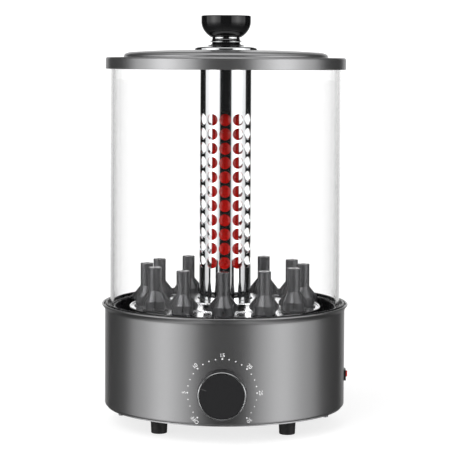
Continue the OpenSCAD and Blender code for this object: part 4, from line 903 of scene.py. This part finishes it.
class GRILL_OT_cups(bpy.types.Operator):
    """Twelve skewer cups: tube with its socket, cone with four fins, foot, journal and pinion"""

    bl_idname = "grill.cups"
    bl_label = "Skewer Cups"
    bl_options = {"REGISTER", "UNDO"}

    gear_h = 6.0 * MM

    def execute(self, context):
        sizes = context.scene.grill_sizes
        for number in range(1, CUPS + 1):
            node = f"skewer_cup_{number}"
            box_low, box_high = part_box(node)
            middle = (box_low + box_high) / 2
            place = np.array([middle.x, middle.y, 0])
            grids = [(self.body(sizes, box_low.z, box_high.z) + place, False, True),
                     (self.pinion(box_low.z) + place, False, True)]
            piece(f"{node}_casting", "grey_cup_coating", f"cup_{number}", grids, [node], sharp=30)
        return {"FINISHED"}

    def body(self, sizes, bottom, top):
        """Rows of a disc crossed by four fins: disc radius, fin reach and height for each row."""
        tube, socket, socket_z = sizes.tube, sizes.socket, top - sizes.socket_depth
        foot_r, journal_r, fin_r = 10.94 * MM, 10.06 * MM, 14.4 * MM
        core_r, sunk = 0.8 * journal_r, 1.0 * MM
        gear_top = bottom + self.gear_h
        foot_z = bottom + 12.2 * MM
        cone_z, tube_z = foot_z + 8.8 * MM, foot_z + 19.0 * MM
        fin_low = cone_z - 3.6 * MM
        tip_low, tip_high = fin_low + 1.0 * MM, cone_z + 0.6 * MM
        fin_start, fin_end = fin_low - 2.0 * MM, tube_z + 0.6 * MM
        outline = rounded([
            (0, gear_top - sunk, 0), (core_r, gear_top - sunk, 0),
            (core_r, gear_top, 0), (journal_r, gear_top + 0.3 * MM, 0),
            (journal_r, foot_z, 0.1 * MM), (foot_r, foot_z, 0.35 * MM), (foot_r, cone_z, 0.8 * MM),
            (tube, tube_z, 1.0 * MM), (tube, top, 0.7 * MM), (socket, top, 0.4 * MM),
            (socket, socket_z, 0), (0, socket_z, 0)], 4)
        marks = np.concatenate([np.linspace(fin_start - 0.2 * MM, fin_end + 0.8 * MM, 45),
                                [tip_low, tip_high, tip_high + 0.15 * MM]])
        climb = ((outline[:, 0] > socket) & (outline[:, 1] >= foot_z + 0.5 * MM)
                 & (outline[:, 1] <= top - 1.0 * MM))
        heights = np.unique(np.concatenate([marks, outline[climb, 1]]))
        first, last = np.flatnonzero(climb)[[0, -1]]
        wall = np.stack([np.interp(heights, outline[climb, 1], outline[climb, 0]), heights], -1)
        r, z = np.concatenate([outline[:first], wall, outline[last + 1:]]).T
        far = np.interp(z, [fin_start, tip_low, tip_high, fin_end], [foot_r, fin_r, fin_r, tube])
        far = np.where((z < fin_start) | (z > fin_end) | (r <= socket), 0.0, far)
        return self.crossed(r, z, far, sizes.fin / 2)

    def crossed(self, r, z, far, half):
        """Outline of a disc of radius r joined with a cross of plates that reach out to far.

        A point of the plate at side y lies at x = max(plate, sqrt(r^2 - y^2)); between two plates
        the points lie on the disc. Where the disc is small the plates narrow with it. A quarter is
        made and turned four times.
        """
        r, far = r[:, None], far[:, None]
        ease = 0.35 * MM
        side = half * np.array([-1, -1, -1, -1, -0.75, -0.3, 0.3, 0.75, 1, 1, 1, 1])
        share = np.array([0, 0.4, 0.8, 1, 1, 1, 1, 1, 1, 0.8, 0.4, 0])
        inset = ease * np.array([1, 1, 1, 1, 0.25, 0, 0, 0.25, 1, 1, 1, 1])
        small = np.minimum(half, 0.9 * r)
        y = side / half * small
        disc = np.sqrt(np.maximum(r * r - y * y, 0))
        x = np.maximum(disc, disc + (far - inset - disc) * share)
        gap = np.arcsin(np.clip(small / np.maximum(r, 1e-9), 0, 1))
        a = gap + (math.pi / 2 - 2 * gap) * np.linspace(0, 1, 12)[1:-1]
        x = np.concatenate([x, r * np.cos(a)], 1)
        y = np.concatenate([y, r * np.sin(a)], 1)
        quarters = [(x, y), (-y, x), (-x, -y), (y, -x)]
        x, y = (np.concatenate([q[i] for q in quarters], 1) for i in (0, 1))
        return np.stack([x, y, np.broadcast_to(z[:, None], x.shape)], -1)

    def pinion(self, bottom):
        """Twelve teeth: the radius swings between root and tip as a wave with flat tops."""
        teeth, module, top = 12, 1.45 * MM, bottom + self.gear_h
        ease, eased = 0.3 * MM, 0.985
        tip, root = module * (teeth / 2 + 0.8), module * (teeth / 2 - 1.1)
        t = np.linspace(0, 1, 12, endpoint=False)
        shape = np.interp(t, [0, 0.14, 0.36, 0.64, 0.86, 1], [0, 0, 1, 1, 0, 0])
        r = np.tile(root + (tip - root) * shape, teeth)
        a = np.linspace(0, FULL_TURN, len(r), endpoint=False)
        rows = [(bottom, 0.0), (bottom, eased), (bottom + ease, 1.0),
                (top - ease, 1.0), (top, eased), (top, 0.0)]
        return np.array([polar(r * scale, a, z) for z, scale in rows])


class GRILL_OT_column(bpy.types.Operator):
    """Heater column: a chrome tube with rows of round holes"""

    bl_idname = "grill.column"
    bl_label = "Heater Column"
    bl_options = {"REGISTER", "UNDO"}

    def execute(self, context):
        sizes = context.scene.grill_sizes
        box_low, box_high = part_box("column_guard")
        outer = box_high.x
        inner = outer - sizes.column_wall
        first = high("turntable").z + sizes.first_hole
        rows, side = 11, 12
        columns = side * CUPS
        below = first - sizes.hole_pitch / 2
        above = first + (rows - 0.5) * sizes.hole_pitch
        grids = [(turned([(inner, below), (inner, box_low.z), (outer, box_low.z),
                          (outer, below)], columns), False, True),
                 (turned([(outer, above), (outer, box_high.z), (inner, box_high.z),
                          (inner, above)], columns), False, True)]
        angle, height = np.moveaxis(self.cell(side, outer, sizes), -1, 0)
        for i in range(CUPS):
            a = angle + FULL_TURN * i / CUPS
            for row in range(rows):
                z = first + row * sizes.hole_pitch + height
                grids += pierced(polar(inner, a, z), polar(outer, a, z))
        tube = piece("column_tube", "chrome_steel", "base", grids, ["column_guard"], sharp=45)
        self.straighten(tube.data, (inner + outer) / 2)
        return {"FINISHED"}

    def cell(self, side, outer, sizes):
        """The sheet round one hole, as (angle, height): lines from the hole to the border."""
        across, along = square_walk(side)
        border = np.stack([across * math.pi / CUPS, along * sizes.hole_pitch / 2], -1)
        t = np.arctan2(border[:, 1], border[:, 0] * outer)
        hole = np.stack([np.arcsin(sizes.column_hole * np.cos(t) / outer),
                         sizes.column_hole * np.sin(t)], -1)
        return spread(hole, border, 4)

    def straighten(self, mesh, middle):
        """Exact normals: away from the axis on the outside, towards it on the inside."""
        corner = np.empty(len(mesh.loops), int)
        mesh.loops.foreach_get("vertex_index", corner)
        place = np.empty(len(mesh.vertices) * 3)
        mesh.vertices.foreach_get("co", place)
        place = place.reshape(-1, 3)[corner]
        starts = np.empty(len(mesh.polygons), int)
        mesh.polygons.foreach_get("loop_start", starts)
        counts = np.diff(np.append(starts, len(corner)))
        r = np.hypot(place[:, 0], place[:, 1])
        lowest = np.repeat(np.minimum.reduceat(r, starts), counts)
        highest = np.repeat(np.maximum.reduceat(r, starts), counts)
        normals = np.empty(len(corner) * 3, np.float32)
        mesh.corner_normals.foreach_get("vector", normals)
        normals = normals.reshape(-1, 3)
        radial = np.column_stack([place[:, :2] / r[:, None], np.zeros(len(r))])
        outside, inside = lowest > middle, highest < middle
        normals[outside] = radial[outside]
        normals[inside] = -radial[inside]
        mesh.normals_split_custom_set(normals)


class GRILL_OT_heater(bpy.types.Operator):
    """Quartz tube of the heater, a smooth ruby tube with fused ends"""

    bl_idname = "grill.heater"
    bl_label = "Quartz Tube"
    bl_options = {"REGISTER", "UNDO"}

    def execute(self, context):
        box_low, box_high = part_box("quartz_tube")
        wall, soft = 1.2 * MM, 0.5 * MM
        outline = ring_section(box_high.x - wall, box_high.x, (box_low.z, box_high.z),
                               (soft, soft))
        piece("quartz_heater_tube", "red_quartz", "base", [ring_of(outline, 96)],
              ["quartz_tube"])
        return {"FINISHED"}


class GRILL_OT_glass(bpy.types.Operator):
    """Glass cylinder with fire-polished ends"""

    bl_idname = "grill.glass"
    bl_label = "Glass Cylinder"
    bl_options = {"REGISTER", "UNDO"}

    def execute(self, context):
        sizes = context.scene.grill_sizes
        outer, soft = reach("glass_cylinder"), 0.9 * MM
        ends = low("glass_cylinder").z, high("glass_cylinder").z
        outline = ring_section(outer - sizes.glass_wall, outer, ends, (soft, soft), 6)
        piece("glass_wall", "clear_glass", "glass", [ring_of(outline, 288)],
              ["glass_cylinder"])
        return {"FINISHED"}


class GRILL_OT_lid(bpy.types.Operator):
    """Lid: rim, flat border, rounded shoulder and a gently crowned middle, with its seal"""

    bl_idname = "grill.lid"
    bl_label = "Lid"
    bl_options = {"REGISTER", "UNDO"}

    def execute(self, context):
        sizes = context.scene.grill_sizes
        t, plateau = sizes.sheet, sizes.plateau
        bottom, top, rim = low("lid_cover").z, high("lid_cover").z, reach("lid_cover")
        border_z = high("lid_seal").z + t
        crown_r = plateau - sizes.shoulder
        seat_r = high("lid_rose").x + 1.0 * MM
        step_z = border_z + 1.8 * MM
        shoulder_top = top - sizes.crown
        rise = shoulder_top - step_z
        # The crown falls as the square of the way out from the knob's seat.
        r = np.linspace(crown_r, seat_r, 12)[1:]
        fall = ((r - seat_r) / (crown_r - seat_r)) ** 2
        crown = np.stack([r, shoulder_top + sizes.crown * (1 - fall)], -1)
        outside = np.concatenate([
            rounded([(rim - t, bottom, 0), (rim, bottom, 0.4 * MM), (rim, border_z, 1.8 * MM),
                     (plateau + 0.2 * MM, border_z, 0.9 * MM), (plateau, step_z, 0)])[1:-1],
            arc((crown_r, step_z), (sizes.shoulder, rise), 0, 90, 12),
            crown, [(SCREW_HOLE, top)]])
        inside = np.concatenate([
            [(SCREW_HOLE, top - t)], crown[::-1] - (0, t),
            arc((crown_r, step_z), (sizes.shoulder - t, rise - t), 90, 0, 12),
            rounded([(plateau - t, step_z, 0), (plateau - t, border_z - t, 0.8 * MM),
                     (rim - t, border_z - t, 0.9 * MM), (rim - t, bottom, 0.3 * MM),
                     (rim, bottom, 0)])[1:-1]])
        piece("lid_pressing", "gunmetal_paint", "lid",
              [ring_of(np.concatenate([outside, inside]), 256)], ["lid_cover"])
        outer, width = reach("lid_seal"), 5.0 * MM
        seal = ring_section(outer - width, outer, (low("lid_seal").z, high("lid_seal").z),
                            (0.5 * MM, 0.3 * MM))
        piece("lid_seal_ring", "seal_rubber", "lid", [ring_of(seal)], ["lid_seal"])
        return {"FINISHED"}


class GRILL_OT_lid_knob(bpy.types.Operator):
    """Lid knob: chrome plate, black collar, chrome neck and a deep black bowl"""

    bl_idname = "grill.lid_knob"
    bl_label = "Lid Knob"
    bl_options = {"REGISTER", "UNDO"}

    def execute(self, context):
        hole, neck_top_r = SCREW_HOLE, 13.8 * MM
        rose_low, rose_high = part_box("lid_rose")
        rose_r, collar_r = rose_high.x, high("lid_collar").x
        edge_z, bevel = rose_low.z + 1.8 * MM, 0.8 * MM
        rose = np.concatenate([
            rounded([(hole, rose_low.z, 0), (rose_r, rose_low.z, 0.3 * MM),
                     (rose_r, edge_z, 0.5 * MM), (rose_r - bevel, edge_z + 0.1 * MM, 0)])[:-1],
            arc((collar_r, edge_z), (rose_r - collar_r - bevel, rose_high.z - edge_z), 2, 90, 14),
            [(hole, rose_high.z)]])
        piece("lid_knob_plate", "chrome_steel", "lid", [ring_of(rose, 160)], ["lid_rose"])
        collar_low, collar_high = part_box("lid_collar")
        lip = 0.8 * MM
        collar = np.concatenate([
            rounded([(hole, collar_low.z, 0), (collar_r - 0.5 * MM, collar_low.z, 0.2 * MM),
                     (collar_r, collar_low.z + lip / 2, 0.4 * MM),
                     (collar_r - 0.3 * MM, collar_low.z + lip, 0)])[:-1],
            self.waist(collar_r, neck_top_r, collar_low.z + lip, collar_high.z, 268),
            [(hole, collar_high.z)]])
        piece("lid_knob_collar", "black_gloss_plastic", "lid", [ring_of(collar, 160)],
              ["lid_collar"])
        neck_low, neck_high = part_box("lid_neck")
        neck_r, brim_z = neck_high.x, neck_low.z + 0.5 * MM
        neck = np.concatenate([
            rounded([(hole, neck_low.z, 0), (neck_r, neck_low.z, 0.25 * MM),
                     (neck_r, brim_z, 0)])[:-1],
            self.waist(neck_r, neck_top_r, brim_z, neck_high.z, 270), [(hole, neck_high.z)]])
        piece("lid_knob_neck", "chrome_steel", "lid", [ring_of(neck, 160)], ["lid_neck"])
        self.bowl(hole)
        return {"FINISHED"}

    def waist(self, wide_r, narrow_r, bottom, top, start):
        """A hollow flank: an ellipse's arc from start degrees, upright at the narrow radius."""
        return arc((wide_r, top), (wide_r - narrow_r, top - bottom), start, 180, 12)

    def bowl(self, hole):
        """The bowl: part of an ellipse up to the waist and an upright band to the flat top."""
        knob_low, knob_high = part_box("lid_knob")
        knob_r = knob_high.x
        band, depth, hole_depth = 5.8 * MM, 19.6 * MM, 12.0 * MM
        waist = knob_high.z - knob_low.z - band
        start = -math.degrees(math.asin(waist / depth))
        outline = np.concatenate([
            [(0, knob_low.z + hole_depth), (hole, knob_low.z + hole_depth), (hole, knob_low.z)],
            arc((0, knob_low.z + waist), (knob_r, depth), start, 0, 24),
            rounded([(knob_r, knob_low.z + waist, 0), (knob_r, knob_high.z, 1.1 * MM),
                     (0, knob_high.z, 0)], 8)[1:]])
        piece("lid_knob_bowl", "black_gloss_plastic", "lid", [stack_of(outline, 160)],
              ["lid_knob"])


class GRILL_OT_stage(bpy.types.Operator):
    """Floor, studio light and the camera"""

    bl_idname = "grill.stage"
    bl_label = "Stage"
    bl_options = {"REGISTER", "UNDO"}

    def execute(self, context):
        self.floor()
        self.studio()
        self.lamp("key_light", (-0.75, -1.0, 1.0), 2.3)
        self.lamp("fill_light", (0.9, -0.7, 0.75), 1.1)
        self.camera()
        return {"FINISHED"}

    def floor(self):
        """A wide flat square under the feet that shows white and keeps the shadow."""
        side, glow_strength, glow_share = 30.0, 1.1, 0.7
        mesh = bpy.data.meshes.new("studio_floor")
        corners = [(-side, -side, 0), (side, -side, 0), (side, side, 0), (-side, side, 0)]
        mesh.from_pydata(corners, [], [(0, 1, 2, 3)])
        paper = Finish("floor_paper", (1.0, 1.0, 1.0), Roughness=1.0, Specular_IOR_Level=0.0)
        glow = paper.add("ShaderNodeEmission")
        glow.inputs["Strength"].default_value = glow_strength
        lit = paper.mix(glow_share, paper.shader.outputs["BSDF"], glow.outputs["Emission"])
        clear = paper.add("ShaderNodeBsdfTransparent")
        paper.end_with(paper.mix(seen_directly(paper.nodes, paper.links),
                                 clear.outputs["BSDF"], lit))
        mesh.materials.append(paper.material)
        ground = shown("studio_floor", mesh)

    def studio(self):
        """World light by direction: soft panels beside a dark gap, one behind and one overhead.

        The angle runs from -180 to 180 degrees round the vertical axis, with 0 in front of the
        grill and positive to its right. Upwards is z, from -1 to 1. The panels fade to a quarter
        below and to nothing above, and what the camera sees directly is plain white.
        """
        panels = ((-180, 1.4), (-168, 1.4), (-162, 0.85), (-153, 0.85), (-149, 0.0),
                  (-101, 0.0), (-98, 1.1), (-80, 1.3), (-58, 3.2), (-40, 1.8), (-26, 1.1),
                  (-23, 0.0), (24, 0.0), (27, 1.1), (40, 1.8), (56, 3.0), (80, 1.3), (98, 1.1),
                  (102, 0.0), (149, 0.0), (153, 0.85), (162, 0.85), (168, 1.4), (180, 1.4))
        brightest, dimmest = 4.0, 0.012
        fade_below, fade_above = (-0.30, 0.05, 0.25), (0.45, 0.12, 0.0)
        overhead = 0.6, 0.9
        world = bpy.data.worlds.new("studio")
        bpy.context.scene.world = world
        world.use_nodes = True
        nodes, links = world.node_tree.nodes, world.node_tree.links
        where = nodes.new("ShaderNodeTexCoord")
        split = nodes.new("ShaderNodeSeparateXYZ")
        links.new(where.outputs["Generated"], split.inputs["Vector"])
        x, y, z = (split.outputs[axis] for axis in "XYZ")
        angle = calculate(nodes, links, "ARCTAN2", x, calculate(nodes, links, "MULTIPLY", y, -1.0))
        share = calculate(nodes, links, "MULTIPLY_ADD", angle, 1 / FULL_TURN, 0.5)
        ramp = nodes.new("ShaderNodeFloatCurve")
        curve = ramp.mapping.curves[0]
        places = [((a + 180) / 360, value / brightest) for a, value in panels]
        curve.points[0].location = places[0]
        curve.points[1].location = places[-1]
        for place in places[1:-1]:
            curve.points.new(*place)
        for point in curve.points:
            point.handle_type = "VECTOR"
        ramp.mapping.update()
        links.new(share, ramp.inputs["Value"])
        level = calculate(nodes, links, "MULTIPLY", ramp.outputs["Value"], brightest)
        for fade in (fade_below, fade_above):
            level = calculate(nodes, links, "MULTIPLY", level, mapped(nodes, links, z, *fade))
        level = calculate(nodes, links, "MAXIMUM", level, mapped(nodes, links, z, *overhead))
        level = calculate(nodes, links, "ADD", level, dimmest)
        level = calculate(nodes, links, "MAXIMUM", level, seen_directly(nodes, links))
        background = nodes["Background"]
        background.inputs["Color"].default_value = (1, 1, 1, 1)
        links.new(level, background.inputs["Strength"])

    def lamp(self, name, towards, strength):
        """A wide soft sun from a direction, hidden from the rays that reflections send out."""
        softness = math.radians(50)
        data = bpy.data.lights.new(name, "SUN")
        data.energy, data.angle = strength, softness
        lamp = shown(name, data)
        lamp.rotation_euler = mathutils.Vector(towards).to_track_quat("Z", "Y").to_euler()
        lamp.visible_glossy = False

    def camera(self):
        """The photo's viewpoint: far, level with the lid, a little to the right of the front."""
        away, height, side = 1.8126, 0.363, math.radians(1.0)
        pitch, roll = math.radians(3.56), math.radians(-0.28)
        data = bpy.data.cameras.new("photo_camera")
        data.sensor_width, data.lens = 36.0, 145.5
        data.shift_x, data.shift_y = -0.0022, -0.1169
        data.clip_start, data.clip_end = 0.05, 100.0
        view = shown("photo_camera", data)
        view.location = (away * math.sin(side), -away * math.cos(side), height)
        view.rotation_euler = (math.pi / 2 - pitch, roll, side)
        bpy.context.scene.camera = view
        bpy.context.scene.view_settings.view_transform = "Standard"


OPERATORS = (GRILL_OT_stage, GRILL_OT_nodes, GRILL_OT_base, GRILL_OT_feet, GRILL_OT_dial,
             GRILL_OT_timer_knob, GRILL_OT_switch, GRILL_OT_tray, GRILL_OT_turntable,
             GRILL_OT_cups, GRILL_OT_column, GRILL_OT_heater, GRILL_OT_glass, GRILL_OT_lid,
             GRILL_OT_lid_knob)


class GRILL_PT_panel(bpy.types.Panel):
    """Lists the sizes, the colours and the steps"""

    bl_idname = "GRILL_PT_panel"
    bl_label = "Skewer Grill"
    bl_space_type = "VIEW_3D"
    bl_region_type = "UI"
    bl_category = "Grill"

    def draw(self, context):
        for operator in OPERATORS:
            self.layout.operator(operator.bl_idname)
        for group in (context.scene.grill_sizes, context.scene.grill_colours):
            box = self.layout.box()
            for name in group.bl_rna.properties.keys():
                if name not in {"rna_type", "name"}:
                    box.prop(group, name)


CLASSES = (GrillSizes, GrillColours, *OPERATORS, GRILL_PT_panel)


def register():
    """Add the classes and the scene's two groups of settings."""
    for entry in CLASSES:
        bpy.utils.register_class(entry)
    bpy.types.Scene.grill_sizes = bpy.props.PointerProperty(type=GrillSizes)
    bpy.types.Scene.grill_colours = bpy.props.PointerProperty(type=GrillColours)


def unregister():
    """Take away what register() added."""
    del bpy.types.Scene.grill_colours
    del bpy.types.Scene.grill_sizes
    for entry in reversed(CLASSES):
        bpy.utils.unregister_class(entry)


def main():
    """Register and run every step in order."""
    register()
    for operator in OPERATORS:
        group, name = operator.bl_idname.split(".")
        getattr(getattr(bpy.ops, group), name)()


if __name__ == "__main__":
    main()
